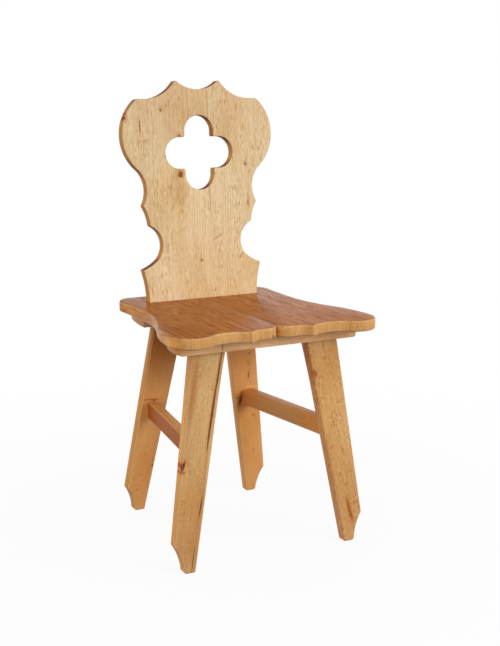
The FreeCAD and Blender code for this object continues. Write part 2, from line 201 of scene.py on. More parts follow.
def tangent_bow(start: Vector, end: Vector, heading: float) -> float:
    """Bow of the arc that leaves a point along a heading.

    Args:
        start: where the arc begins.
        end: where it ends.
        heading: direction at its start, in radians from +x.

    Returns:
        The bow, inwards where it is positive.
    """
    run = end - start
    turn = math.remainder(math.atan2(run.y, run.x) - heading, 2 * math.pi)
    return -run.length / 2 * math.tan(turn / 2)


def strokes(corners: Sequence[Corner]) -> list[Stroke]:
    """Strokes of a closed outline with its roundings.

    Args:
        corners: the outline's corners, counter-clockwise.

    Returns:
        The strokes in drawing order.
    """
    ends = list(corners[1:]) + [corners[0]]
    sides = [
        Stroke(Vector((a.x, a.y)), Vector((b.x, b.y)), a.bow).trimmed(a.soft, b.soft)
        for a, b in zip(corners, ends)
    ]
    path = []
    for side, following, corner in zip(sides, sides[1:] + sides[:1], ends):
        path.append(side)
        if corner.soft:
            bow = tangent_bow(side.end, following.start, side.last_heading)
            path.append(Stroke(side.end, following.start, bow))
    return path


def clear_bench() -> None:
    """Leaves edit mode and drops every selection."""
    if bpy.context.object is not None and bpy.context.object.mode != "OBJECT":
        bpy.ops.object.mode_set(mode="OBJECT")
    bpy.ops.object.select_all(action="DESELECT")


def is_arris(edge: bmesh.types.BMEdge) -> bool:
    """Whether an edge is sharp."""
    return len(edge.link_faces) == 2 and edge.calc_face_angle(0.0) > SHARP


class Workpiece:
    """A piece on the bench, shaped with Blender's operators."""

    def __init__(self, thing: bpy.types.Object, name: str) -> None:
        """Takes a new object onto the bench.

        Args:
            thing: the object.
            name: name for it and its mesh.
        """
        self.thing = thing
        self.thing.name = name
        self.thing.data.name = name

    @classmethod
    def drawn(cls, name: str, corners: Sequence[Corner], thickness: float, lean: float = 0.0) -> "Workpiece":
        """Board on a drawn outline, from a small plane merged to the pencil's first point.

        Args:
            name: the piece's name.
            corners: its outline, counter-clockwise from above.
            thickness: how far it goes down from the drawing plane.
            lean: how far its lower face lies further along y than the drawn one.

        Returns:
            The board, lying in the drawing plane.
        """
        clear_bench()
        bpy.ops.mesh.primitive_plane_add(size=MM)
        piece = cls(bpy.context.object, name)
        path = strokes(corners)
        with piece.editing():
            bpy.ops.mesh.merge(type="CENTER")
            first = path[0].start * MM
            bpy.ops.transform.translate(value=(first.x, first.y, 0.0))
            for stroke in path:
                stroke.draw()
            bpy.ops.mesh.select_all(action="SELECT")
            bpy.ops.mesh.remove_doubles(threshold=WELD)
            bpy.ops.mesh.edge_face_add()
            down = (0.0, lean * MM, -thickness * MM)
            bpy.ops.mesh.extrude_region_move(TRANSFORM_OT_translate={"value": down})
            bpy.ops.mesh.select_all(action="SELECT")
            bpy.ops.mesh.normals_make_consistent(inside=False)
        return piece

    @classmethod
    def block(cls, name: str, low: Sequence[float], high: Sequence[float], place: Matrix) -> "Workpiece":
        """Squared timber between two corners.

        Args:
            name: the piece's name.
            low: lowest corner in the timber's own frame.
            high: highest corner.
            place: the frame's place on the chair.

        Returns:
            The timber in its place.
        """
        clear_bench()
        first, last = Vector(low) * MM, Vector(high) * MM
        bpy.ops.mesh.primitive_cube_add(size=1.0, location=(first + last) / 2, scale=last - first)
        piece = cls(bpy.context.object, name)
        piece.settle(place @ piece.thing.matrix_basis)
        return piece

    @classmethod
    def peg(cls, name: str, radii: Sequence[float], length: float, place: Matrix) -> "Workpiece":
        """Round or tapered peg along its frame's z, from the frame's origin.

        Args:
            name: the piece's name.
            radii: radius at its start and at its end.
            length: how long it is.
            place: the frame's place on the chair.

        Returns:
            The peg in its place.
        """
        clear_bench()
        bpy.ops.mesh.primitive_cone_add(
            vertices=PEG_SIDES,
            radius1=radii[0] * MM,
            radius2=radii[1] * MM,
            depth=length * MM,
            location=(0.0, 0.0, length * MM / 2),
        )
        piece = cls(bpy.context.object, name)
        piece.settle(place @ piece.thing.matrix_basis)
        return piece

    @classmethod
    def lens(cls, name: str, radii: Sequence[float], place: Matrix) -> "Workpiece":
        """Lens around its frame's origin.

        Args:
            name: the piece's name.
            radii: its radii along the frame's axes.
            place: the frame's place on the chair.

        Returns:
            The lens in its place.
        """
        clear_bench()
        bpy.ops.mesh.primitive_uv_sphere_add(segments=LENS_SIDES, ring_count=LENS_SIDES // 2, radius=MM)
        piece = cls(bpy.context.object, name)
        piece.settle(place @ Matrix.Diagonal((*radii, 1.0)))
        return piece

    @contextmanager
    def editing(self) -> Iterator[None]:
        """Opens the piece alone in edit mode with all of it selected.

        Yields:
            Nothing, while the piece is open.
        """
        self.take()
        bpy.ops.object.mode_set(mode="EDIT")
        bpy.ops.mesh.select_mode(type="VERT")
        bpy.ops.mesh.select_all(action="SELECT")
        yield
        bpy.ops.object.mode_set(mode="OBJECT")

    def take(self) -> None:
        """Makes the piece the one that object operators act on."""
        clear_bench()
        self.thing.select_set(True)
        bpy.context.view_layer.objects.active = self.thing

    def settle(self, place: Matrix) -> None:
        """Moves the piece and puts its place into its mesh.

        Args:
            place: where its present frame goes.
        """
        self.take()
        self.thing.matrix_basis = place
        bpy.ops.object.transform_apply(location=True, rotation=True, scale=True)

    def select(self, kind: str, test: Union[EdgeTest, FaceTest]) -> None:
        """Selects edges or faces of the open piece.

        Args:
            kind: Blender's name of the select mode, EDGE or FACE.
            test: tells which of them to take.
        """
        bpy.ops.mesh.select_mode(type=kind)
        bpy.ops.mesh.select_all(action="DESELECT")
        mesh = bmesh.from_edit_mesh(self.thing.data)
        mesh.normal_update()
        for item in mesh.edges if kind == "EDGE" else mesh.faces:
            item.select_set(test(item))
        bmesh.update_edit_mesh(self.thing.data)

    def ease(self, width: float, steps: int, test: EdgeTest) -> None:
        """Rounds edges.

        Args:
            width: how far the rounding reaches from the edge.
            steps: number of facets of the rounding.
            test: tells which edges to take.
        """
        with self.editing():
            self.select("EDGE", test)
            bpy.ops.mesh.bevel(
                offset_type="OFFSET",
                offset=width * MM,
                segments=steps,
                profile=ROUND,
                affect="EDGES",
                clamp_overlap=False,
            )
            bpy.ops.mesh.select_all(action="SELECT")
            bpy.ops.mesh.remove_doubles(threshold=WELD)

    def step_down(self, drops: Sequence[float], sizes: Sequence[Sequence[float]], middle: Vector) -> None:
        """Rounds a board's lower face off by extruding it in shrinking steps.

        Args:
            drops: depth of each step.
            sizes: half length and half width at the start and after each step.
            middle: what the steps shrink to, in metres.
        """
        with self.editing():
            self.select("FACE", lambda face: face.normal.z < -LEVEL)
            for drop, before, after in zip(drops, sizes, sizes[1:]):
                bpy.ops.mesh.extrude_region_move(TRANSFORM_OT_translate={"value": (0.0, 0.0, -drop * MM)})
                share = (after[0] / before[0], after[1] / before[1], 1.0)
                bpy.ops.transform.resize(value=share, center_override=middle)

    def saw(self, point: Vector, normal: Vector) -> None:
        """Cuts off the side of a plane that its normal points to; the point on it is in metres."""
        with self.editing():
            bpy.ops.mesh.bisect(plane_co=point, plane_no=normal, use_fill=True, clear_outer=True)

    def saw_level(self, height: float, way: float) -> None:
        """Cuts off what lies above a height, with way 1, or below it, with way -1."""
        self.saw(Vector((0.0, 0.0, height * MM)), Vector((0.0, 0.0, way)))

    def combine(self, tool: "Workpiece", cut: Cut) -> None:
        """Cuts another piece away or joins it on, and clears that piece from the bench.

        Args:
            tool: the other piece.
            cut: what it does.
        """
        self.take()
        change = self.thing.modifiers.new("joint", "BOOLEAN")
        change.operation = cut.value
        change.solver = "EXACT"
        change.object = tool.thing
        bpy.ops.object.modifier_apply(modifier=change.name)
        with self.editing():
            bpy.ops.mesh.remove_doubles(threshold=WELD)
        tool.scrap()

    def scar(self, marks: Sequence["Mark"], place: Matrix) -> None:
        """Cuts the pits of those marks that have one.

        Args:
            marks: knots and blemishes of the board.
            place: the board's own frame.
        """
        for mark in marks:
            if mark.pit:
                spot = place @ mark.place()
                self.combine(Workpiece.lens("pit", (mark.wide, mark.long, mark.pit), spot), Cut.AWAY)

    def copy(self, name: str) -> "Workpiece":
        """Copies the piece with a mesh of its own.

        Args:
            name: the copy's name.

        Returns:
            The copy.
        """
        self.take()
        bpy.ops.object.duplicate(linked=False)
        return Workpiece(bpy.context.object, name)

    def mirrored(self, name: str) -> "Workpiece":
        """Copies a right-hand piece for the left.

        Args:
            name: the left-hand piece's name.

        Returns:
            The left-hand piece.
        """
        other = self.copy(name)
        other.settle(Matrix.Scale(-1.0, 4, Vector((1.0, 0.0, 0.0))))
        with other.editing():
            bpy.ops.mesh.normals_make_consistent(inside=False)
        return other

    def scrap(self) -> None:
        """Removes the piece."""
        self.take()
        bpy.ops.object.delete()

    def hand_over(self, node: str, slot: str, material: bpy.types.Material) -> None:
        """Dresses the finished piece and lets it stand for its CAD node.

        Args:
            node: the CAD node's name.
            slot: the record's material slot; not used.
            material: what it is made of.
        """
        self.take()
        bpy.ops.object.shade_smooth_by_angle(angle=SMOOTH)
        mesh = self.thing.data
        mesh.materials.clear()
        mesh.materials.append(material)
        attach(self.thing, BODY)
        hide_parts(node)
        LOG.info("%s stands for %s: %d faces", self.thing.name, node, len(mesh.polygons))


Socket = bpy.types.NodeSocket
Value = Union[Socket, float, Sequence[float]]


class Nodes:
    """Short hand for building one shader tree."""

    def __init__(self, tree: bpy.types.NodeTree) -> None:
        """Starts on a node tree."""
        self.tree = tree

    def feed(self, socket: Socket, value: Value) -> None:
        """Links a socket to another, or sets its own value.

        Args:
            socket: the input to feed.
            value: another node's output, or a plain value.
        """
        if isinstance(value, bpy.types.NodeSocket):
            self.tree.links.new(value, socket)
        else:
            socket.default_value = value

    def math(self, operation: str, first: Value, second: Value = 0.0, third: Value = 0.0) -> Socket:
        """Result of a Math node.

        Args:
            operation: Blender's name of the operation.
            first: first operand.
            second: second operand.
            third: third operand, where the operation has one.

        Returns:
            The node's output.
        """
        node = self.tree.nodes.new("ShaderNodeMath")
        node.operation = operation
        for socket, value in zip(node.inputs, (first, second, third)):
            self.feed(socket, value)
        return node.outputs[0]

    def vector(self, operation: str, first: Value, second: Value = (0.0, 0.0, 0.0)) -> bpy.types.Node:
        """A Vector Math node.

        Args:
            operation: Blender's name of the operation.
            first: first operand.
            second: second operand.

        Returns:
            The node.
        """
        node = self.tree.nodes.new("ShaderNodeVectorMath")
        node.operation = operation
        self.feed(node.inputs[0], first)
        self.feed(node.inputs[1], second)
        return node

    def mapped(self, vector: Socket, place: Matrix, scale: Sequence[float] = (1.0, 1.0, 1.0)) -> Socket:
        """Vector seen from a frame of its own.

        Args:
            vector: the vector to turn.
            place: the frame.
            scale: the frame's units along its axes.

        Returns:
            The vector in that frame.
        """
        node = self.tree.nodes.new("ShaderNodeMapping")
        node.vector_type = "TEXTURE"
        node.inputs["Location"].default_value = place.to_translation()
        node.inputs["Rotation"].default_value = place.to_euler("XYZ")
        node.inputs["Scale"].default_value = scale
        self.feed(node.inputs["Vector"], vector)
        return node.outputs[0]

    def noise(
        self, vector: Socket, stretch: Sequence[float], detail: float = 2.0, rough: float = 0.5
    ) -> Socket:
        """Noise around zero.

        Args:
            vector: where to read it.
            stretch: how many lumps there are to the metre along each axis.
            detail: number of finer layers.
            rough: weight of the finer layers.

        Returns:
            Values from about -0.5 to 0.5.
        """
        node = self.tree.nodes.new("ShaderNodeTexNoise")
        node.inputs["Scale"].default_value = 1.0
        node.inputs["Detail"].default_value = detail
        node.inputs["Roughness"].default_value = rough
        self.feed(node.inputs["Vector"], self.vector("MULTIPLY", vector, stretch).outputs[0])
        return self.math("SUBTRACT", node.outputs[0], MIDDLE)

    def fade(self, value: Socket, start: float, end: float) -> Socket:
        """Smooth step along a value.

        Args:
            value: where to read the step.
            start: where it is 0.
            end: where it is 1.

        Returns:
            The step, from 0 to 1.
        """
        node = self.tree.nodes.new("ShaderNodeMapRange")
        node.interpolation_type = "SMOOTHSTEP"
        node.inputs["From Min"].default_value = start
        node.inputs["From Max"].default_value = end
        self.feed(node.inputs["Value"], value)
        return node.outputs[0]

    def ramp(self, value: Socket, stops: Sequence[tuple[float, Sequence[float]]]) -> Socket:
        """Colours along a value.

        Args:
            value: where to read the ramp.
            stops: pairs of a place from 0 to 1 and a colour.

        Returns:
            The colour.
        """
        node = self.tree.nodes.new("ShaderNodeValToRGB")
        knobs = node.color_ramp.elements
        while len(knobs) < len(stops):
            knobs.new(MIDDLE)
        for knob, (place, colour) in zip(knobs, stops):
            knob.position = place
            knob.color = (*colour, 1.0)
        self.feed(node.inputs[0], value)
        return node.outputs[0]

    def mix(self, share: Value, first: Value, second: Value, blend: str = "MIX") -> Socket:
        """Mix of two colours.

        Args:
            share: how much of the second, from 0 to 1.
            first: first colour.
            second: second colour.
            blend: Blender's name of the way to mix.

        Returns:
            The mixed colour.
        """
        node = self.tree.nodes.new("ShaderNodeMix")
        node.data_type = "RGBA"
        node.blend_type = blend
        self.feed(node.inputs["Factor"], share)
        for socket, value in zip([s for s in node.inputs if s.type == "RGBA"], (first, second)):
            self.feed(socket, value if isinstance(value, bpy.types.NodeSocket) else (*value, 1.0))
        return next(s for s in node.outputs if s.type == "RGBA")


Colour = tuple[float, float, float]
WHITE: Colour = (1.0, 1.0, 1.0)
WEAR_AND_HIGHLIGHT: Colour = (1.0, 0.84, 0.56)   # paleness of the arrises, from wear and a painted highlight
SCREEN_FULL = 255                  # brightest part of a screen shade
SCREEN_KNEE = 0.04045              # below this a screen's parts are linear
SCREEN_SLOPE = 12.92               # slope of that linear stretch
SCREEN_LIFT = 0.055                # shift of the curve above it
SCREEN_POWER = 2.4                 # power of that curve


def shade(red: int, green: int, blue: int) -> Colour:
    """Linear colour of a screen shade.

    Args:
        red: red part, 0 to 255.
        green: green part.
        blue: blue part.

    Returns:
        The colour as the shader wants it.
    """
    parts = (part / SCREEN_FULL for part in (red, green, blue))
    return tuple(
        p / SCREEN_SLOPE
        if p <= SCREEN_KNEE
        else ((p + SCREEN_LIFT) / (1 + SCREEN_LIFT)) ** SCREEN_POWER
        for p in parts
    )


@dataclass(frozen=True)
class WoodFinish:
    """Colours and gloss of one kind of varnished wood.

    early and late are the palest and the deepest wood, and the tints colour what faces out of the board, its
    sides and its ends; some face and side tints paint light and shade. deep is the share of late wood
    without any pattern, rings, streak and fleck are the weights of the patterns, and arris is how pale the
    edges are, from wear and a painted highlight.
    """

    early: Colour
    late: Colour
    dash: Colour
    side: Colour
    end: Colour
    cloud: Colour
    face: Colour = WHITE
    deep: float = 0.3
    rings: float = 0.25
    end_rings: float = 0.4
    streak: float = 0.8
    fleck: float = 1.0
    arris: float = 0.25
    roughness: float = 0.42
    gloss: float = 0.3


class MarkKind(Enum):
    """What a mark in the wood is, or a patch of painted shade or painted light."""

    KNOT = "knot"
    PITCH = "pitch"
    STREAK = "streak"
    PALE = "pale"
    # painted shade: a soft darker patch that stands in for shade
    TAN = "tan"
    # painted light: a soft paler patch that stands in for light
    BLOND = "blond"


@dataclass(frozen=True)
class Mark:
    """Knot, pitch line, streak, pale scratch or patch of painted shade or light, in the board's own frame.

    wide and long are its radii across and along its own direction, and turn leans that direction from the
    board's grain. pit is the depth of its hollow, and deep how far its colour goes into the board.
    """

    kind: MarkKind
    x: float
    y: float
    wide: float
    long: float
    turn: float = 0.0
    strength: float = 1.0
    pit: float = 0.0
    z: float = 0.0
    deep: float = 60.0

    @classmethod
    def line(cls, kind: MarkKind, start: Vector, end: Vector, wide: float, **more: float) -> "Mark":
        """Long mark between two points.

        Args:
            kind: what it is.
            start: one end of it.
            end: the other.
            wide: its radius across.
            more: other fields of the mark.

        Returns:
            The mark.
        """
        middle, run = (start + end) / 2, end - start
        turn = math.degrees(math.atan2(-run.x, run.y))
        return cls(kind, middle.x, middle.y, wide, run.length / 2, turn, **more)

    def place(self) -> Matrix:
        """The mark's own frame on the board, in metres."""
        turn = Matrix.Rotation(math.radians(self.turn), 4, "Z")
        return Matrix.Translation(Vector((self.x, self.y, self.z)) * MM) @ turn


@dataclass(frozen=True)
class MarkTone:
    """Colours of one kind of mark from its middle to its rim and of the stain round it.

    bend is how far it pushes the rings aside, ragged how rough its outline is and solid the share of its
    radius that has the full colour.
    """

    middle: Colour
    rim: Colour
    halo: Colour
    halo_share: float
    bend: float = 0.0
    ragged: float = 0.9
    solid: float = 0.75


def painted_light_and_shade_tone(colour: Colour) -> MarkTone:
    """Tone of a soft patch of painted shade or light in one colour that fades out from its middle."""
    return MarkTone(colour, colour, WHITE, halo_share=0.0, ragged=0.0, solid=0.0)


MARK_TONES = {
    MarkKind.KNOT: MarkTone(shade(150, 92, 52), shade(84, 42, 24), shade(226, 186, 132), 0.6, 5.0),
    MarkKind.PITCH: MarkTone(shade(100, 46, 22), shade(124, 64, 30), shade(232, 200, 156), 0.4, 0.5, 0.35),
    MarkKind.STREAK: MarkTone(shade(160, 92, 44), shade(172, 106, 54), shade(232, 200, 156), 0.3),
    MarkKind.PALE: MarkTone(shade(238, 208, 150), shade(232, 198, 138), shade(250, 240, 225), 0.2),
    # painted shade
    MarkKind.TAN: painted_light_and_shade_tone(shade(168, 92, 42)),
    # painted light
    MarkKind.BLOND: painted_light_and_shade_tone(shade(240, 200, 140)),
}


@dataclass(frozen=True)
class Grain:
    """How a board was sawn from its log, in the board's own frame.

    pith is the place of the log's heart and lean how far that runs off to the metre. ring is the width of a
    ring, wander how far the rings stray and dashes the weight of the pitch dashes. flecks is the number of
    flecks to the metre along the grain, and fibres that of streaks across it.
    """

    pith_x: float
    pith_z: float
    lean_x: float = 0.0
    lean_z: float = 0.0
    ring: float = 3.0
    wander: float = 10.0
    dashes: float = 0.6
    flecks: float = 110.0
    seed: float = 0.0
    fibres: float = 420.0


Lumps = tuple[float, float, float]
Range = tuple[float, float]


@dataclass(frozen=True)
class Figure:
    """Scales of the patterns that all boards share.

    Lumps are to the metre, across, along and through the board. A range is where a step begins and where it
    ends. What ends in flecks or fibres multiplies that number of the board's grain. Distances from a mark are
    in its radii, and facing runs from 0 to 1.
    """

    rough_rim: Lumps = (260.0, 120.0, 260.0)
    drift: Lumps = (9.0, 2.2, 9.0)
    wobble: Lumps = (90.0, 9.0, 90.0)
    wobble_reach: float = 2.2
    bend_fall: float = 0.36
    ring_change: float = 0.35
    ring_spread: float = 2.4
    ring_shades: tuple[Range, ...] = ((0.0, 0.3), (0.12, 0.02), (0.55, 0.25), (0.86, 1.0), (0.97, 0.85))
    ring_weights: Range = (0.7, 0.3)
    cloud: Lumps = (13.0, 5.0, 13.0)
    cloud_range: Range = (-0.12, 0.25)
    patch: float = 45.0
    patch_flecks: float = 0.13
    patch_range: Range = (-0.12, 0.15)
    streak_flecks: float = 0.09
    fleck_fibres: float = 0.86
    fleck_least: float = 0.5
    fibre_rough: float = 0.6
    dash_flecks: float = 0.75
    dash_rare: float = 0.2
    dash_step: float = 0.14
    end_loss: float = 0.85
    halo_range: Range = (3.2, 0.8)
    core: float = 0.5
    rim: float = 0.9
    mark_end: float = 1.2
    face_range: Range = (0.5, 0.8)
    side_range: Range = (0.75, 0.25)
    end_range: Range = (0.35, 0.95)
    wear_and_highlight_ranges: tuple[Range, Range] = ((0.4, 0.7), (0.98, 0.85))
    seed_ways: Lumps = (1.0, 2.7, 1.3)
    dull: float = 0.2
    bump: float = 0.15
    bump_height: float = 0.4
    bump_rings: float = 0.3


FIGURE = Figure()


class Timber:
    """Material of one board: rings of its log, fibres, pitch dashes, marks and varnish."""

    def __init__(
        self, name: str, finish: WoodFinish, grain: Grain, place: Matrix, marks: Sequence[Mark] = ()
    ) -> None:
        """Starts an empty material.

        Args:
            name: the material's name.
            finish: its colours and gloss.
            grain: how the board lay in its log.
            place: the board's own frame, y along the grain and z out of its face.
            marks: its knots and blemishes.
        """
        self.finish = finish
        self.grain = grain
        self.place = place
        self.marks = marks
        self.material = bpy.data.materials.new(name)
        self.material.use_nodes = True
        self.nodes = Nodes(self.material.node_tree)

    def distances(self, board: Socket, ragged: Socket) -> tuple[list[Socket], Value]:
        """Distances from the marks and the bend that they give the rings.

        Args:
            board: place in the board's frame.
            ragged: noise that roughens the outlines.

        Returns:
            Distance from each mark in its radii, and the bend in metres.
        """
        n, away_from, bend = self.nodes, [], 0.0
        for mark in self.marks:
            local = n.mapped(board, mark.place(), (mark.wide * MM, mark.long * MM, mark.deep * MM))
            away = n.vector("LENGTH", local).outputs["Value"]
            away_from.append(n.math("MULTIPLY_ADD", ragged, MARK_TONES[mark.kind].ragged, away))
            if MARK_TONES[mark.kind].bend:
                near = n.math("MULTIPLY", away, FIGURE.bend_fall)
                fall = n.math("EXPONENT", n.math("MULTIPLY", n.math("MULTIPLY", near, near), -1.0))
                bend = n.math("MULTIPLY_ADD", fall, MARK_TONES[mark.kind].bend * MM, bend)
        return away_from, bend

    def rings(self, board: Socket, bend: Value) -> Socket:
        """Late wood of the growth rings.

        Args:
            board: place in the board's frame.
            bend: bend that the marks give the rings, in metres.

        Returns:
            Share of late wood from 0 to 1.
        """
        n, g = self.nodes, self.grain
        split = n.tree.nodes.new("ShaderNodeSeparateXYZ")
        n.feed(split.inputs[0], board)
        x, y, z = split.outputs
        across = n.math("SUBTRACT", n.math("MULTIPLY_ADD", y, -g.lean_x, x), g.pith_x * MM)
        through = n.math("SUBTRACT", n.math("MULTIPLY_ADD", y, -g.lean_z, z), g.pith_z * MM)
        square = n.math("MULTIPLY_ADD", through, through, n.math("MULTIPLY", across, across))
        shifted = n.vector("ADD", board, (g.seed, g.seed, g.seed)).outputs[0]
        drift = n.noise(shifted, FIGURE.drift, detail=1.0)
        away = n.math("MULTIPLY_ADD", drift, g.wander * MM, n.math("SQRT", square))
        wobble = n.noise(shifted, FIGURE.wobble, detail=2.0)
        away = n.math("MULTIPLY_ADD", wobble, FIGURE.wobble_reach * MM, away)
        count = n.math("DIVIDE", n.math("ADD", away, bend), g.ring * MM)
        uneven = n.tree.nodes.new("ShaderNodeTexNoise")
        uneven.noise_dimensions = "1D"
        uneven.inputs["Scale"].default_value = FIGURE.ring_change
        n.feed(uneven.inputs["W"], count)
        count = n.math("MULTIPLY_ADD", uneven.outputs[0], FIGURE.ring_spread, count)
        late = n.ramp(n.math("FRACT", count), [(place, (grey,) * 3) for place, grey in FIGURE.ring_shades])
        weight = n.tree.nodes.new("ShaderNodeTexWhiteNoise")
        weight.noise_dimensions = "1D"
        n.feed(weight.inputs["W"], n.math("FLOOR", count))
        weighted = n.math("MULTIPLY_ADD", weight.outputs["Value"], *FIGURE.ring_weights)
        return n.math("MULTIPLY", late, weighted)

    def facing(self, normal: Socket) -> tuple[Socket, Socket]:
        """Which way the surface looks.

        Args:
            normal: direction of the surface in the mesh's frame.

        Returns:
            How much it is the board's face and how much its end grain, from 0 to 1.
        """
        n = self.nodes
        parts = n.tree.nodes.new("ShaderNodeSeparateXYZ")
        n.feed(parts.inputs[0], n.mapped(normal, self.place.to_3x3().to_4x4()))
        return n.math("ABSOLUTE", parts.outputs[2]), n.math("ABSOLUTE", parts.outputs[1])

    def wood(self, shifted: Socket, late: Socket, pattern: Socket, patch: Socket, ending: Socket) -> Socket:
        """Colour of clear wood.

        Args:
            shifted: place in the log.
            late: share of late wood.
            pattern: streaks and flecks along the fibres.
            patch: where flecks and dashes gather.
            ending: how much the surface is end grain.

        Returns:
            The colour.
        """
        n, f, g = self.nodes, self.finish, self.grain
        rings = n.math("MULTIPLY", late, n.math("MULTIPLY_ADD", ending, f.end_rings, f.rings))
        along = n.math("MULTIPLY_ADD", ending, -FIGURE.end_loss, 1.0)
        depth = n.math("ADD", n.math("MULTIPLY_ADD", pattern, along, rings), f.deep)
        colour = n.mix(depth, f.early, f.late)
        rare = FIGURE.dash_rare - FIGURE.dash_step * g.dashes
        lumps = (g.fibres, FIGURE.dash_flecks * g.flecks, g.fibres)
        dash = n.fade(n.noise(shifted, lumps, detail=1.0), rare, rare + FIGURE.dash_step)
        dash = n.math("MULTIPLY", n.math("MULTIPLY", dash, patch), g.dashes)
        colour = n.mix(n.math("MULTIPLY", dash, along), colour, f.dash)
        cloud = n.fade(n.noise(shifted, FIGURE.cloud, detail=3.0), *FIGURE.cloud_range)
        return n.mix(cloud, colour, f.cloud, "MULTIPLY")

    def marked(self, colour: Socket, away_from: Sequence[Socket]) -> Socket:
        """Colour with the marks over the clear wood.

        Args:
            colour: clear wood.
            away_from: distance from each mark.

        Returns:
            The colour.
        """
        n = self.nodes
        for mark, away in zip(self.marks, away_from):
            tone = MARK_TONES[mark.kind]
            stain = n.math("MULTIPLY", n.fade(away, *FIGURE.halo_range), tone.halo_share * mark.strength)
            colour = n.mix(stain, colour, tone.halo, "MULTIPLY")
            core = n.ramp(away, ((0.0, tone.middle), (FIGURE.core, tone.middle), (FIGURE.rim, tone.rim)))
            inside = n.math("MULTIPLY", n.fade(away, FIGURE.mark_end, tone.solid), mark.strength)
            colour = n.mix(inside, colour, core)
        return colour

    def faced(self, colour: Socket, flat: Socket, ending: Socket) -> Socket:
        """Colour with the tints of face, sides, ends and arrises.

        Args:
            colour: wood with its marks.
            flat: how much the surface is the board's face.
            ending: how much it is end grain.

        Returns:
            The colour.
        """
        n, f = self.nodes, self.finish
        colour = n.mix(n.fade(flat, *FIGURE.face_range), colour, f.face, "MULTIPLY")
        colour = n.mix(n.fade(flat, *FIGURE.side_range), colour, f.side, "MULTIPLY")
        colour = n.mix(n.fade(ending, *FIGURE.end_range), colour, f.end, "MULTIPLY")
        # the pale arris is wear and also a painted highlight
        rise, fall = FIGURE.wear_and_highlight_ranges
        wear_and_highlight = n.math("MULTIPLY", n.fade(flat, *rise), n.fade(flat, *fall))
        return n.mix(n.math("MULTIPLY", wear_and_highlight, f.arris), colour, WEAR_AND_HIGHLIGHT, "SCREEN")

    def made(self) -> bpy.types.Material:
        """Builds the shader tree.

        Returns:
            The finished material.
        """
        n, f, g = self.nodes, self.finish, self.grain
        coordinates = n.tree.nodes.new("ShaderNodeTexCoord")
        board = n.mapped(coordinates.outputs["Object"], self.place)
        flat, ending = self.facing(coordinates.outputs["Normal"])
        shifted = n.vector("ADD", board, [way * g.seed for way in FIGURE.seed_ways]).outputs[0]
        away_from, bend = self.distances(board, n.noise(shifted, FIGURE.rough_rim, detail=2.0))
        late = self.rings(board, bend)
        streaks = (g.fibres, FIGURE.streak_flecks * g.flecks, g.fibres)
        streak = n.noise(shifted, streaks, detail=3.0, rough=FIGURE.fibre_rough)
        across = FIGURE.fleck_fibres * g.fibres
        fleck = n.noise(shifted, (across, g.flecks, across), detail=2.0, rough=FIGURE.fibre_rough)
        patches = (FIGURE.patch, FIGURE.patch_flecks * g.flecks, FIGURE.patch)
        patch = n.fade(n.noise(shifted, patches, detail=2.0), *FIGURE.patch_range)
        gathered = n.math("MULTIPLY_ADD", patch, f.fleck, FIGURE.fleck_least * f.fleck)
        fleck = n.math("MULTIPLY", fleck, gathered)
        pattern = n.math("MULTIPLY_ADD", streak, f.streak, fleck)
        colour = self.marked(self.wood(shifted, late, pattern, patch, ending), away_from)
        shader = n.tree.nodes["Principled BSDF"]
        n.feed(shader.inputs["Base Color"], self.faced(colour, flat, ending))
        n.feed(shader.inputs["Roughness"], n.math("MULTIPLY_ADD", pattern, FIGURE.dull, f.roughness))
        shader.inputs["Specular IOR Level"].default_value = f.gloss
        bump = n.tree.nodes.new("ShaderNodeBump")
        bump.inputs["Strength"].default_value = FIGURE.bump
        bump.inputs["Distance"].default_value = FIGURE.bump_height * MM
        n.feed(bump.inputs["Height"], n.math("MULTIPLY_ADD", late, -FIGURE.bump_rings, pattern))
        n.feed(shader.inputs["Normal"], bump.outputs[0])
        return self.material


@dataclass(frozen=True)
class ScrewSteel:
    """Zinc-plated steel with a dull, cloudy gloss."""

    bright: Colour = (0.62, 0.62, 0.6)
    dull: Colour = (0.42, 0.43, 0.44)
    roughness: float = 0.36
    lumps: Lumps = (900.0, 900.0, 900.0)
    cloud_range: Range = (-0.2, 0.2)
    cloud_rough: float = 0.3

    def made(self) -> bpy.types.Material:
        """Builds the shader tree.

        Returns:
            The finished material.
        """
        material = bpy.data.materials.new("screw_zinc")
        material.use_nodes = True
        n = Nodes(material.node_tree)
        place = n.tree.nodes.new("ShaderNodeTexCoord").outputs["Object"]
        cloud = n.noise(place, self.lumps, detail=3.0)
        shader = n.tree.nodes["Principled BSDF"]
        n.feed(shader.inputs["Base Color"], n.mix(n.fade(cloud, *self.cloud_range), self.dull, self.bright))
        n.feed(shader.inputs["Roughness"], n.math("MULTIPLY_ADD", cloud, self.cloud_rough, self.roughness))
        shader.inputs["Metallic"].default_value = 1.0
        return material


BACK_PINE = WoodFinish(
    early=shade(238, 214, 171),
    late=shade(190, 145, 86),
    dash=shade(166, 113, 56),
    side=shade(240, 200, 144),
    end=shade(146, 96, 54),
    cloud=shade(246, 234, 216),
    deep=0.2,
    rings=0.26,
    streak=0.9,
    fleck=1.3,
    arris=0.12,
    roughness=0.5,
    gloss=0.06,
)
SEAT_PINE = WoodFinish(
    early=shade(222, 176, 114),
    late=shade(172, 116, 60),
    dash=shade(120, 66, 26),
    side=(1.17, 0.88, 0.54),
    end=(1.02, 1.35, 2.3),
    cloud=shade(240, 228, 212),
    face=(0.58, 0.31, 0.1),
    end_rings=0.45,
    streak=3.0,
    fleck=2.0,
    arris=0.1,
    roughness=0.3,
    gloss=0.06,
)
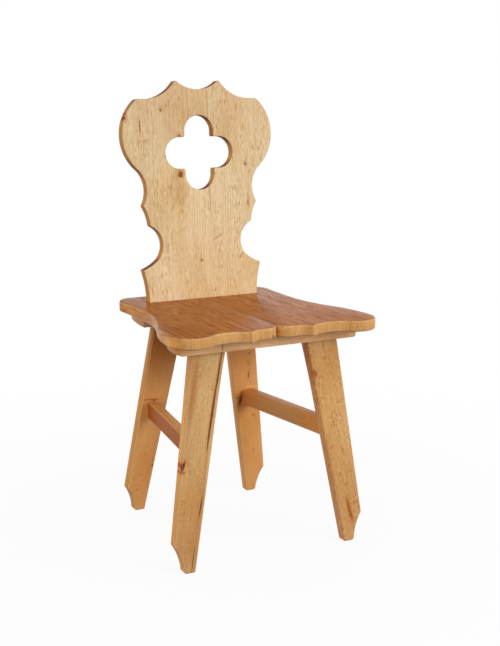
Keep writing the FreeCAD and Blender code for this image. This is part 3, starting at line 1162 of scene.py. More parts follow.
# the side tint above 1 paints light onto the legs' narrow sides
LEG_PINE = WoodFinish(
    early=shade(231, 189, 128),
    late=shade(183, 119, 60),
    dash=shade(172, 100, 42),
    side=(1.38, 1.25, 1.05),
    end=shade(200, 156, 110),
    cloud=shade(242, 228, 208),
    face=(1.01, 1.05, 1.11),
    arris=0.22,
    gloss=0.08,
)
# the rear legs' side tint above 1 also paints light onto their narrow sides
REAR_PINE = replace(
    LEG_PINE,
    early=shade(250, 196, 125),
    late=shade(222, 136, 72),
    dash=shade(140, 78, 32),
    side=(1.12, 1.1, 0.98),
    face=WHITE,
    streak=0.5,
    fleck=0.7,
    arris=0.25,
)
LEG_FINISHES = {
    (Row.FRONT, Hand.LEFT): LEG_PINE,
    # front right: a darker inner side, painted shade under the seat, and a fainter painted highlight on its
    # arrises
    (Row.FRONT, Hand.RIGHT): replace(
        LEG_PINE, side=(1.3, 1.1, 1.06), face=(1.01, 1.0, 0.98), fleck=1.7, arris=0.05
    ),
    # rear left: sides tinted darker than the right rear leg's, painted shade
    (Row.REAR, Hand.LEFT): replace(REAR_PINE, side=(0.89, 0.83, 0.61)),
    (Row.REAR, Hand.RIGHT): REAR_PINE,
}
LEFT_LEG_GRAIN = Grain(420.0, -130.0, ring=3.2, wander=8.0, dashes=0.3, flecks=200.0)
RIGHT_LEG_GRAIN = replace(LEFT_LEG_GRAIN, pith_x=-420.0)
LEG_GRAINS = {
    (Row.FRONT, Hand.LEFT): replace(LEFT_LEG_GRAIN, seed=10.0),
    (Row.FRONT, Hand.RIGHT): replace(RIGHT_LEG_GRAIN, dashes=0.9, flecks=120.0, seed=16.0),
    (Row.REAR, Hand.LEFT): replace(LEFT_LEG_GRAIN, seed=17.0),
    (Row.REAR, Hand.RIGHT): replace(RIGHT_LEG_GRAIN, seed=23.0),
}
BATTEN_PINE = WoodFinish(
    early=shade(244, 202, 150),
    late=shade(200, 142, 90),
    dash=shade(136, 80, 40),
    side=(1.14, 1.1, 1.06),
    end=shade(250, 228, 196),
    cloud=shade(242, 228, 208),
    streak=1.2,
    gloss=0.1,
)
# the side tint darkens the rail's top and bottom: painted shade
RAIL_PINE = WoodFinish(
    early=shade(246, 170, 84),
    late=shade(210, 122, 50),
    dash=shade(124, 70, 32),
    side=(0.72, 0.72, 0.76),
    end=shade(200, 156, 110),
    cloud=shade(240, 226, 208),
    gloss=0.2,
)
# left rail: the same pine with painted shade on its broad sides and a paler top and bottom than the right
# rail
LEFT_RAIL_PINE = replace(RAIL_PINE, side=(0.92, 1.05, 1.35), face=(0.6, 0.41, 0.2), gloss=0.06)
BEECH = WoodFinish(
    early=shade(214, 170, 126),
    late=shade(178, 126, 84),
    dash=shade(132, 82, 50),
    side=shade(250, 240, 228),
    end=shade(196, 156, 120),
    cloud=shade(242, 230, 214),
    rings=0.1,
)


@dataclass(frozen=True)
class Layout:
    """Sizes that more than one sub-assembly needs.

    The back's tenons start tenon_root inside the board and are tenon_rough long before they are cut off.
    """

    seat_height: float = 450.0
    seat_thickness: float = 22.0
    seat_depth: float = 413.0
    batten_thickness: float = 22.0
    batten_width: float = 92.0
    batten_lengths: tuple[float, float] = (360.0, 280.0)
    batten_setbacks: tuple[float, float] = (55.0, 6.0)
    back_thickness: float = 20.0
    back_tilt: float = 3.7
    back_setback: float = 72.0
    tenon_place: float = 39.0
    tenon_width: float = 30.0
    tenon_root: float = 4.0
    tenon_rough: float = REACH / 3

    @property
    def seat_under(self) -> float:
        """Height of the seat's underside."""
        return self.seat_height - self.seat_thickness

    @property
    def batten_under(self) -> float:
        """Height of the battens' underside."""
        return self.seat_under - self.batten_thickness

    def batten_length(self, row: Row) -> float:
        """Length of a batten along its edges."""
        return row.pick(self.batten_lengths)

    def batten_face(self, row: Row) -> float:
        """Place of a batten's front edge.

        Args:
            row: front or rear batten.

        Returns:
            Its place along y.
        """
        if row is Row.FRONT:
            return self.batten_setbacks[0] - self.seat_depth / 2
        return self.seat_depth / 2 - self.batten_setbacks[1] - self.batten_width

    def back_frame(self) -> Matrix:
        """Frame of the back board: x across, y up its front face from the seat, z towards the sitter."""
        foot = Vector((0.0, self.seat_depth / 2 - self.back_setback, self.seat_height))
        return Matrix.Translation(foot * MM) @ Matrix.Rotation(math.radians(QUARTER - self.back_tilt), 4, "X")

    def back_tenon(self, name: str, hand: Hand, gap: float = 0.0) -> Workpiece:
        """Tenon of the back, or with a gap the cutter for its mortise.

        Args:
            name: the piece's name.
            hand: which of the two tenons.
            gap: room all round it.

        Returns:
            The tenon with its rough length.
        """
        half = self.tenon_width / 2 + gap
        middle = self.tenon_place * hand.value
        low = (middle - half, -self.tenon_rough, -self.back_thickness - gap)
        return Workpiece.block(name, low, (middle + half, self.tenon_root, gap), self.back_frame())


@dataclass(frozen=True)
class Screws:
    """Countersunk screws that hold a batten to the seat; the CAD model has the screws themselves.

    overlap is how far the cutter of a countersink begins below the batten.
    """

    layout: Layout
    shank: float = 2.35
    head: float = 4.6
    head_height: float = 3.0
    length: float = 38.1
    from_end: float = 24.0
    from_middle: float = 42.0
    from_back: float = 24.0
    overlap: float = 1.0

    def places(self, row: Row) -> list[Vector]:
        """Points on a batten's underside where its screws go in.

        Args:
            row: front or rear batten.

        Returns:
            The points in metres.
        """
        outer = self.layout.batten_length(row) / 2 - self.from_end
        line = self.layout.batten_face(row) + self.layout.batten_width - self.from_back
        across = (-outer, -self.from_middle, self.from_middle, outer)
        return [Vector((x, line, self.layout.batten_under)) * MM for x in across]

    def bore(self, board: Workpiece, row: Row, hands: Sequence[Hand]) -> None:
        """Cuts the screw holes into a board.

        Args:
            board: the batten or seat board.
            row: whose screws.
            hands: sides of the chair to bore on.
        """
        spread = (self.head - self.shank) / self.head_height * self.overlap
        head = (self.head + spread, self.shank)
        for place in self.places(row):
            if Hand(int(math.copysign(1, place.x))) in hands:
                spot = Matrix.Translation(place)
                board.combine(Workpiece.peg("bore", (self.shank, self.shank), self.length, spot), Cut.AWAY)
                if board.thing.name.endswith("batten"):
                    below = Matrix.Translation(place - Vector((0.0, 0.0, self.overlap * MM)))
                    sink = Workpiece.peg("sink", head, self.head_height + self.overlap, below)
                    board.combine(sink, Cut.AWAY)


@dataclass(frozen=True)
class BackBoard:
    """Shaped back of two staves with its hand hold, tenons and marks.

    Points are across from the middle and up from the seat. Hollows and bulges are heights of arcs over their
    chords, and a soft is how far from a corner its rounding begins.
    """

    layout: Layout
    seam: float = 20.0
    horn: tuple[float, float] = (47.0, 435.0)
    crown_hollow: float = 18.5
    shoulder: tuple[float, float, float] = (108.0, 130.0, 398.5)
    shoulder_hollow: float = 8.2
    ear_foot: tuple[float, float] = (131.0, 260.0)
    ear_bulge: float = 32.5
    upper_cusp: tuple[float, float] = (124.5, 191.0)
    neck_hollow: float = 11.5
    lower_cusp: tuple[float, float] = (111.5, 151.0)
    cusp_hollow: float = 2.5
    bite_end: tuple[float, float] = (97.0, 84.0)
    bite_hollow: float = 17.5
    flank_top: tuple[float, float] = (130.0, 65.0)
    flare_hollow: float = 2.0
    base: float = 120.0
    flank_hollow: float = 2.5
    horn_soft: float = 4.2
    shoulder_soft: float = 3.3
    cusp_soft: float = 1.6
    hold_height: float = 292.5
    hold_length: float = 147.0
    hold_width: float = 62.5
    hold_soft: float = 3.0
    rim: float = 1.3
    rim_steps: int = 3
    tenon_out: float = 30.0
    key_width: float = 10.3
    key_height: float = 14.3
    key_draw: float = 2.0

    def outline(self) -> list[Corner]:
        """Outline of the whole board, up its right-hand side from the base and down the left.

        Returns:
            Its corners.
        """
        right = [
            Corner(self.base, -self.layout.back_thickness),
            Corner(self.base, 0.0, self.flank_hollow),
            Corner(*self.flank_top, self.flare_hollow, self.cusp_soft),
            Corner(*self.bite_end, self.bite_hollow),
            Corner(*self.lower_cusp, self.cusp_hollow, self.cusp_soft),
            Corner(*self.upper_cusp, self.neck_hollow, self.cusp_soft),
            Corner(*self.ear_foot, -self.ear_bulge),
            Corner(self.shoulder[1], self.shoulder[2], 0.0, self.shoulder_soft),
            Corner(self.shoulder[0], self.shoulder[2], self.shoulder_hollow),
            Corner(*self.horn, self.crown_hollow, self.horn_soft),
        ]
        bows = [0.0] + [corner.bow for corner in right[:-1]]
        left = [Corner(-c.x, c.y, bow, c.soft) for c, bow in zip(reversed(right), reversed(bows))]
        return right + left

    def hold(self) -> Workpiece:
        """Cutter of the four-lobed hand hold.

        Returns:
            The cutter, which passes through the board.
        """
        straight = (self.hold_length - self.hold_width) / 2
        half = self.hold_width / 2
        corners = []
        for turn in range(4):
            way = Matrix.Rotation(turn * math.pi / 2, 2)
            points = [way @ Vector(p) for p in ((half, -half), (straight, -half), (straight, half))]
            bows = (0.0, -half, 0.0)
            softs = (self.hold_soft, 0.0, 0.0)
            corners += [Corner(p.x, p.y, bow, soft) for p, bow, soft in zip(points, bows, softs)]
        spare = self.layout.back_thickness
        cutter = Workpiece.drawn("hold_cutter", corners, self.layout.back_thickness + 2 * spare)
        middle = Vector((0.0, self.hold_height, spare))
        cutter.settle(Matrix.Translation(middle * MM))
        return cutter

    def key_slot(self, hand: Hand) -> Workpiece:
        """Cutter for the slot that a tenon's key passes through.

        Args:
            hand: which of the two tenons.

        Returns:
            The cutter in its place.
        """
        lay = self.layout
        middle = lay.tenon_place * hand.value
        half = self.key_width / 2
        low = (middle - half, -REACH, lay.batten_under - self.key_height)
        high = (middle + half, REACH, lay.batten_under + self.key_draw)
        return Workpiece.block("key_slot", low, high, Matrix())

    def build(self) -> dict[Hand, Workpiece]:
        """Models the two staves.

        Returns:
            The staves by hand.
        """
        lay = self.layout
        board = Workpiece.drawn("back_board", self.outline(), lay.back_thickness)
        board.combine(self.hold(), Cut.AWAY)

        def rim(edge: bmesh.types.BMEdge) -> bool:
            """Whether an edge is an arris of the front or of the rear face."""
            return is_arris(edge) and any(abs(face.normal.z) > LEVEL for face in edge.link_faces)

        board.ease(self.rim, self.rim_steps, rim)
        board.scar([mark for hand in Hand for mark in self.marks(hand)], Matrix())
        board.settle(lay.back_frame())
        board.saw_level(lay.seat_height, -1.0)
        staves = {Hand.RIGHT: board.copy("right_back_stave"), Hand.LEFT: board}
        board.thing.name = "left_back_stave"
        for hand, stave in staves.items():
            stave.saw(Vector((self.seam * MM, 0.0, 0.0)), Vector((-hand.value, 0.0, 0.0)))
            tenon = lay.back_tenon("tenon", hand, -FLUSH)
            tenon.saw_level(lay.batten_under - self.tenon_out, -1.0)
            stave.combine(tenon, Cut.ON)
            stave.combine(self.key_slot(hand), Cut.AWAY)
        return staves

    def marks(self, hand: Hand) -> list[Mark]:
        """Knots and blemishes of a stave.

        Args:
            hand: which stave.

        Returns:
            Its marks.
        """
        knot, pitch, streak, pale, tan, _ = MarkKind
        seam = [
            Mark(streak, self.seam, 205.0, 0.9, 55.0, strength=0.5),
            Mark(streak, self.seam, 385.0, 0.9, 40.0, strength=0.35),
        ]
        if hand is Hand.RIGHT:
            return seam + [
                Mark(knot, 101.0, 267.0, 2.0, 2.8, 25.0, 0.8, 0.4),
                Mark(streak, 103.0, 275.0, 1.5, 6.0, -20.0, 0.4),
                Mark(knot, 88.0, 84.4, 1.4, 1.4, 0.0, 0.7, 0.5),
                Mark(streak, 84.0, 79.0, 2.6, 2.2, 0.0, 0.55),
                Mark(streak, 105.0, 188.0, 1.6, 6.0, 0.0, 0.7),
                Mark(streak, 106.0, 193.0, 3.0, 17.0, 4.0, 0.3),
                Mark(streak, 30.0, 120.0, 1.1, 7.0, -62.0, 0.45),
                Mark(streak, 41.0, 124.0, 0.9, 5.0, -48.0, 0.35),
                Mark(streak, 38.0, 98.0, 1.2, 9.0, -12.0, 0.45),
                Mark(streak, 84.0, 381.0, 1.6, 9.0, -8.0, 0.4),
                Mark(streak, 31.0, 330.0, 1.2, 12.0, 0.0, 0.4),
                # tan: painted shade, darker towards the top of the stave
                Mark(tan, 80.0, 430.0, 140.0, 140.0, 0.0, 0.16),
            ]
        return seam + [
            Mark(knot, -43.5, 250.0, 4.4, 5.8, 0.0, 1.0, 0.5),
            Mark(streak, -45.5, 258.0, 2.0, 5.0, 12.0, 0.4),
            Mark(streak, -41.0, 213.0, 13.0, 26.0, 0.0, 0.22),
            Mark(knot, -81.0, 376.2, 1.8, 2.2, 0.0, 1.0, 0.5),
            Mark(streak, -80.5, 380.0, 5.0, 6.0, 0.0, 0.2),
            Mark(knot, -43.5, 326.5, 2.0, 2.2, 0.0, 0.9),
            Mark(knot, -74.2, 286.7, 1.3, 1.6),
            Mark(knot, -4.0, 76.7, 1.5, 2.2, 0.0, 1.0, 0.7),
            Mark(streak, -4.4, 87.0, 1.1, 6.0, 0.0, 0.4),
            Mark(pitch, -125.8, 346.0, 0.8, 10.5, 2.0, 0.95, 1.2, 0.0, 5.0),
            Mark(pale, -44.5, 142.0, 0.6, 16.0, -61.5, 0.3, 0.0, 0.0, 3.0),
            Mark(streak, -45.0, 141.0, 0.6, 15.0, -61.5, 0.35, 0.0, 0.0, 3.0),
            Mark(knot, -156.0, 362.0, 2.6, 5.0, 10.0, 0.9, 0.0, -8.0, 10.0),
            Mark(knot, -154.0, 373.0, 2.0, 4.0, 20.0, 0.8, 0.0, -10.0, 8.0),
            Mark(streak, -84.0, 86.0, 1.2, 5.0, -70.0, 0.4),
            Mark(streak, -62.0, 190.0, 1.4, 16.0, -22.0, 0.3),
            Mark(streak, -54.0, 200.0, 1.2, 14.0, -24.0, 0.28),
            Mark(streak, -66.0, 222.0, 1.2, 14.0, -8.0, 0.25),
            Mark(streak, -118.0, 318.0, 2.6, 16.0, -82.0, 0.2),
            # tan: painted shade, darker towards the top of the stave
            Mark(tan, -70.0, 420.0, 150.0, 150.0, 0.0, 0.22),
        ]

    def dress(self, staves: dict[Hand, Workpiece]) -> None:
        """Gives both staves their pine and hands them over.

        Args:
            staves: the staves by hand.
        """
        place = self.layout.back_frame()
        grains = {
            Hand.LEFT: Grain(
                -700.0, -250.0, lean_x=0.01, ring=5.5, wander=14.0, dashes=0.7, flecks=85.0, seed=1.0
            ),
            Hand.RIGHT: Grain(
                520.0, -160.0, lean_x=0.004, ring=4.6, wander=6.0, dashes=0.8, flecks=85.0, seed=4.0
            ),
        }
        for hand, stave in staves.items():
            pine = Timber(f"{hand.word}_stave_pine", BACK_PINE, grains[hand], place, self.marks(hand))
            stave.hand_over(f"back_stave_{hand.word}", "back_pine", pine.made())


@dataclass(frozen=True)
class SeatBoards:
    """Seat of two boards with a scalloped front, hollow sides and a notch at the seam.

    Insets are from the widest line, depths from the front edge, and the places of waist and rear from the
    back edge.
    """

    layout: Layout
    half_width: float = 208.5
    lobe_radius: float = 41.0
    lobe_inset: float = 66.5
    notch_depth: float = 35.0
    notch_angle: float = 60.0
    curl: tuple[float, float] = (32.0, 19.0)
    cusp_inset: float = 146.5
    cusp_depth: float = 3.2
    flank_depth: float = 147.0
    waist_inset: float = 45.5
    waist_place: float = 141.0
    rear_inset: float = 41.5
    rear_place: float = 33.0
    cusp_soft: float = 5.6
    top_round: float = 4.0
    under_round: float = 3.6
    seam_ease: float = 0.5
    top_steps: int = 5
    under_steps: int = 3
    seam_steps: int = 1
    dowel_radius: float = 4.1
    dowel_length: float = 40.2
    dowel_places: tuple[float, float, float] = (-150.0, 0.0, 150.0)
    # paler top for the right board than the left's: painted light
    right_painted_light_tint: Colour = (0.66, 0.38, 0.13)

    def outline(self) -> list[Corner]:
        """Outline of the right half seen from above, from the notch at the seam round to the back.

        Returns:
            Its corners.
        """
        front, back = -self.layout.seat_depth / 2, self.layout.seat_depth / 2
        notch = Vector((0.0, front + self.notch_depth))
        curl = Vector((self.curl[0], front + self.curl[1]))
        cusp = Vector((self.half_width - self.cusp_inset, front + self.cusp_depth))
        lobe = Vector((self.half_width - self.lobe_radius, front + self.lobe_radius))
        inward = math.acos((self.lobe_inset - self.lobe_radius) / self.lobe_radius)
        lobe_start = lobe - Vector((math.cos(inward), math.sin(inward))) * self.lobe_radius
        lobe_end = Vector((self.half_width, lobe.y))
        waist = Vector((self.half_width - self.waist_inset, back - self.waist_place))
        run = waist - lobe_end
        flank = lobe_end + run * ((self.flank_depth - self.lobe_radius) / run.y)
        rear = Vector((self.half_width - self.rear_inset, back - self.rear_place))
        points, bows = [notch], []
        heading = -math.radians(self.notch_angle)
        for point in (curl, cusp):
            heading = self.follow(points, bows, point, heading)
        bows.append(-tangent_bow(lobe_start, cusp, math.pi / 2 + inward))
        points.append(lobe_start)
        heading = inward - math.pi / 2
        for point in (lobe_end, flank, waist, rear):
            heading = self.follow(points, bows, point, heading)
        corner = Vector((rear.x + self.rear_place / math.tan((heading + math.pi) / 2), back))
        self.follow(points, bows, corner, heading)
        points.append(Vector((0.0, back)))
        softs = [self.cusp_soft if point is cusp else 0.0 for point in points]
        return [Corner(p.x, p.y, bow, soft) for p, bow, soft in zip(points, bows + [0.0, 0.0], softs)]

    @staticmethod
    def follow(points: list[Vector], bows: list[float], point: Vector, heading: float) -> float:
        """Adds an arc that goes on from the last point without a kink.

        Args:
            points: the outline so far.
            bows: bows of its sides.
            point: where the arc ends.
            heading: direction at the last point.

        Returns:
            The direction at the arc's end.
        """
        stroke = Stroke(points[-1], point, tangent_bow(points[-1], point, heading))
        points.append(point)
        bows.append(stroke.bow)
        return stroke.last_heading

    def build(self) -> dict[Hand, Workpiece]:
        """Models the two boards.

        Returns:
            The boards by hand.
        """
        lay = self.layout
        board = Workpiece.drawn("right_seat_board", self.outline(), lay.seat_thickness)
        low = -lay.seat_thickness * MM

        def rim(edge: bmesh.types.BMEdge, height: float) -> bool:
            """Whether an edge runs round the board at a height, away from the seam."""
            level = all(abs(v.co.z - height) < WELD for v in edge.verts)
            return level and any(v.co.x > MM for v in edge.verts)

        def seam(edge: bmesh.types.BMEdge) -> bool:
            """Whether an edge is the seam's upper arris."""
            return all(abs(v.co.x) < WELD and abs(v.co.z) < WELD for v in edge.verts)

        board.ease(self.top_round, self.top_steps, lambda edge: rim(edge, 0.0))
        board.ease(self.under_round, self.under_steps, lambda edge: rim(edge, low))
        board.ease(self.seam_ease, self.seam_steps, seam)
        board.settle(Matrix.Translation((0.0, 0.0, lay.seat_height * MM)))
        board.combine(lay.back_tenon("mortise", Hand.RIGHT, JOINT_GAP), Cut.AWAY)
        middle = lay.seat_under + lay.seat_thickness / 2
        for place in self.dowel_places:
            start = Vector((-self.dowel_length / 2, place, middle)) * MM
            along = Matrix.Translation(start) @ Matrix.Rotation(math.pi / 2, 4, "Y")
            hole = Workpiece.peg("dowel_hole", (self.dowel_radius,) * 2, self.dowel_length, along)
            board.combine(hole, Cut.AWAY)
        for row in Row:
            Screws(lay).bore(board, row, [Hand.RIGHT])
        return {Hand.RIGHT: board, Hand.LEFT: board.mirrored("left_seat_board")}

    def marks(self, hand: Hand) -> list[Mark]:
        """Marks of a board, the dark line of the seam and a patch of painted light on the left board.

        Args:
            hand: which board.

        Returns:
            Its marks.
        """
        knot, pitch, streak, *_, blond = MarkKind
        seam = Mark(pitch, 0.0, 0.0, 0.8, 600.0, strength=0.8)
        if hand is Hand.RIGHT:
            return [
                seam,
                Mark(streak, 115.0, -120.0, 2.0, 16.0, strength=0.4),
                Mark(streak, 179.0, -153.0, 2.0, 14.0, strength=0.4),
            ]
        specks = (
            (-112.5, -3.0),
            (-135.6, -4.0),
            (-111.0, -76.0),
            (-23.4, -49.0),
            (-110.0, 55.0),
            (-135.0, 25.0),
        )
        hole = Mark(knot, -13.3, -184.1, 1.3, 1.5, pit=2.4, z=-17.2, deep=3.0)
        # painted light on the edge of the left front lobe
        corner = Mark(blond, -208.0, -163.0, 20.0, 36.0, strength=0.9, z=-13.0, deep=12.0)
        return [seam, hole, corner] + [Mark(knot, x, y, 1.3, 2.6, strength=0.8, pit=0.4) for x, y in specks]

    def dress(self, boards: dict[Hand, Workpiece]) -> None:
        """Gives both boards their pine and hands them over.

        Args:
            boards: the boards by hand.
        """
        place = Matrix.Translation((0.0, 0.0, self.layout.seat_height * MM))
        grains = {
            Hand.LEFT: Grain(-650.0, -60.0, ring=3.0, dashes=0.6, flecks=30.0, seed=7.0, fibres=300.0),
            Hand.RIGHT: Grain(560.0, -90.0, ring=3.0, dashes=1.0, flecks=30.0, seed=11.0, fibres=300.0),
        }
        for hand, board in boards.items():
            board.scar(self.marks(hand), place)
            # the right board's paler top is painted light
            finish = SEAT_PINE if hand is Hand.LEFT else replace(SEAT_PINE, face=self.right_painted_light_tint)
            pine = Timber(f"{hand.word}_seat_pine", finish, grains[hand], place, self.marks(hand))
            board.hand_over(f"seat_board_{hand.word}", "seat_pine", pine.made())


@dataclass(frozen=True)
class Leg:
    """Tapered board leg with a shaped foot, a wedged tenon and a mortise for its stretcher.

    Pairs of rakes and setbacks are for the front and the rear. The tenon starts tenon_root inside the leg and
    is tenon_rough long before it is cut off. flares are how far the front legs' inner edge stands out at the
    shoulder and at flare_height, and mark_depth is how far most marks go into the board.
    """

    layout: Layout
    row: Row
    thickness: float = 22.0
    top_width: float = 63.0
    foot_width: float = 46.0
    splay: float = 9.0
    rakes: tuple[float, float] = (3.8, -7.1)
    from_batten_end: float = 61.0
    setbacks: tuple[float, float] = (18.0, 24.0)
    toe: float = 21.5
    knee_height: float = 51.0
    knee_hollow: float = 4.0
    knee_soft: float = 1.8
    arris: float = 2.4
    arris_steps: int = 4
    toe_soft: tuple[float, float] = (2.5, 5.0)
    flares: tuple[float, float] = (3.0, 1.2)
    flare_height: float = 321.0
    mark_depth: float = 12.0
    tenon_width: float = 34.0
    tenon_thickness: float = 14.0
    tenon_short: float = 0.5
    tenon_root: float = 8.0
    tenon_rough: float = REACH / 4
    wedge: tuple[float, float, float] = (3.5, 0.8, 17.0)

    def frame(self, hand: Hand = Hand.RIGHT) -> Matrix:
        """Frame of a leg: x across, y up its middle line from the shoulder, z out of its face.

        Args:
            hand: side of the chair.

        Returns:
            The frame, in metres.
        """
        lay = self.layout
        across = (lay.batten_length(self.row) / 2 - self.from_batten_end) * hand.value
        setback = self.row.pick(self.setbacks)
        point = Vector((across, lay.batten_face(self.row) + setback, lay.batten_under))
        upright = Matrix.Rotation(math.radians(QUARTER - self.row.pick(self.rakes)), 4, "X")
        spread = Matrix.Rotation(math.radians(self.splay) * hand.value, 4, "Z")
        return Matrix.Translation(point * MM) @ (upright @ spread)

    @property
    def length(self) -> float:
        """Length of the middle line from the shoulder to the floor."""
        return self.layout.batten_under / self.frame().col[1].z

    def on_edge(self, side: Hand, height: float) -> tuple[float, float]:
        """Point of the leg's face on one of its long edges.

        Args:
            side: which edge, seen from the front.
            height: level above the floor.

        Returns:
            The point in the leg's frame.
        """
        place = self.frame()
        half, taper = self.top_width / 2, (self.top_width - self.foot_width) / 2 / self.length
        slope = place.col[0].z / place.col[1].z
        rise = (height - self.layout.batten_under) / place.col[1].z
        y = (rise - slope * half * side.value) / (1 + slope * taper * side.value)
        return (half + taper * y) * side.value, y

    def outline(self) -> list[Corner]:
        """Outline of the right-hand leg, level at its shoulder and its toe.

        Returns:
            Its corners.
        """
        place = self.frame()
        inner = self.on_edge(Hand.LEFT, 0.0)
        toe = inner[0] + self.toe
        floor = inner[1] - self.toe * place.col[0].z / place.col[1].z
        knee = self.knee_height - self.length
        half = self.top_width / 2 + (self.top_width - self.foot_width) / 2 / self.length * knee
        top = self.on_edge(Hand.LEFT, self.layout.batten_under)
        inside = [Corner(*top)]
        if self.row is Row.FRONT:
            slope = place.col[0].z / place.col[1].z
            bend = self.on_edge(Hand.LEFT, self.flare_height)
            inside = [
                Corner(top[0] - self.flares[0], top[1] + self.flares[0] * slope),
                Corner(bend[0] - self.flares[1], bend[1]),
            ]
        return [
            *inside,
            Corner(*inner, 0.0, self.toe_soft[0]),
            Corner(toe, floor, self.knee_hollow, self.toe_soft[1]),
            Corner(half, knee, 0.0, self.knee_soft),
            Corner(*self.on_edge(Hand.RIGHT, self.layout.batten_under)),
        ]

    def tenon(self, gap: float = 0.0) -> Workpiece:
        """Tenon on the leg's top, or with a gap the cutter for its mortise.

        Args:
            gap: room all round it.

        Returns:
            The tenon with its rough length.
        """
        half = self.tenon_width / 2 + gap
        shoulder = (self.thickness - self.tenon_thickness) / 2 - gap
        low = (-half, -self.tenon_root, shoulder - self.thickness)
        return Workpiece.block("leg_tenon", low, (half, self.tenon_rough, -shoulder), self.frame())

    def wedge_cut(self) -> Workpiece:
        """Cutter for the saw cut that the wedge fills.

        Returns:
            The cutter in its place.
        """
        wide, thin, long = self.wedge
        face = self.frame()
        middle = face @ Vector((0.0, 0.0, -self.thickness * MM / 2))
        top = (self.layout.seat_under - self.tenon_short - middle.z / MM) / face.col[1].z
        spare = self.tenon_thickness
        spread = (wide - thin) / long / 2 * spare
        corners = [
            Corner(-thin / 2, top - long),
            Corner(thin / 2, top - long),
            Corner(wide / 2 + spread, top + spare),
            Corner(-wide / 2 - spread, top + spare),
        ]
        cutter = Workpiece.drawn("wedge_cut", corners, self.thickness)
        cutter.settle(face)
        return cutter

    def build(self, mortise: Workpiece) -> Workpiece:
        """Models the right-hand leg.

        Args:
            mortise: cutter for the stretcher's mortise.

        Returns:
            The leg in its place.
        """
        lay = self.layout
        place = self.frame()
        level = self.thickness * place.col[2].z / place.col[1].z
        leg = Workpiece.drawn(f"{self.row.value}_right_leg_board", self.outline(), self.thickness, level)
        leg.settle(place)
        shoulder = lay.batten_under * MM

        def outer(edge: bmesh.types.BMEdge) -> bool:
            """Whether an edge is an arris away from the shoulder."""
            return is_arris(edge) and not all(abs(v.co.z - shoulder) < ON_LEVEL for v in edge.verts)

        leg.ease(self.arris, self.arris_steps, outer)
        tenon = self.tenon()
        tenon.saw_level(lay.seat_under - self.tenon_short, 1.0)
        leg.combine(tenon, Cut.ON)
        leg.combine(self.wedge_cut(), Cut.AWAY)
        leg.combine(mortise, Cut.AWAY)
        return leg

    def spot(self, hand: Hand, x: float, height: float) -> Vector:
        """Point of a leg's face.

        Args:
            hand: which leg of the pair.
            x: place across the chair.
            height: distance from the floor along the face.

        Returns:
            The point in the leg's own plane.
        """
        place = self.frame(hand)
        shoulder = place.to_translation() / MM
        up = self.layout.batten_under / math.hypot(place.col[0].z, place.col[1].z)
        turn = Matrix.Rotation(-math.radians(self.splay) * hand.value, 2)
        return turn @ Vector((x - shoulder.x, height - up))

    def marks(self, hand: Hand) -> list[Mark]:
        """Knots, pitch lines, scratches and patches of painted shade and painted light of a leg.

        Args:
            hand: which leg of the pair.

        Returns:
            Its marks.
        """
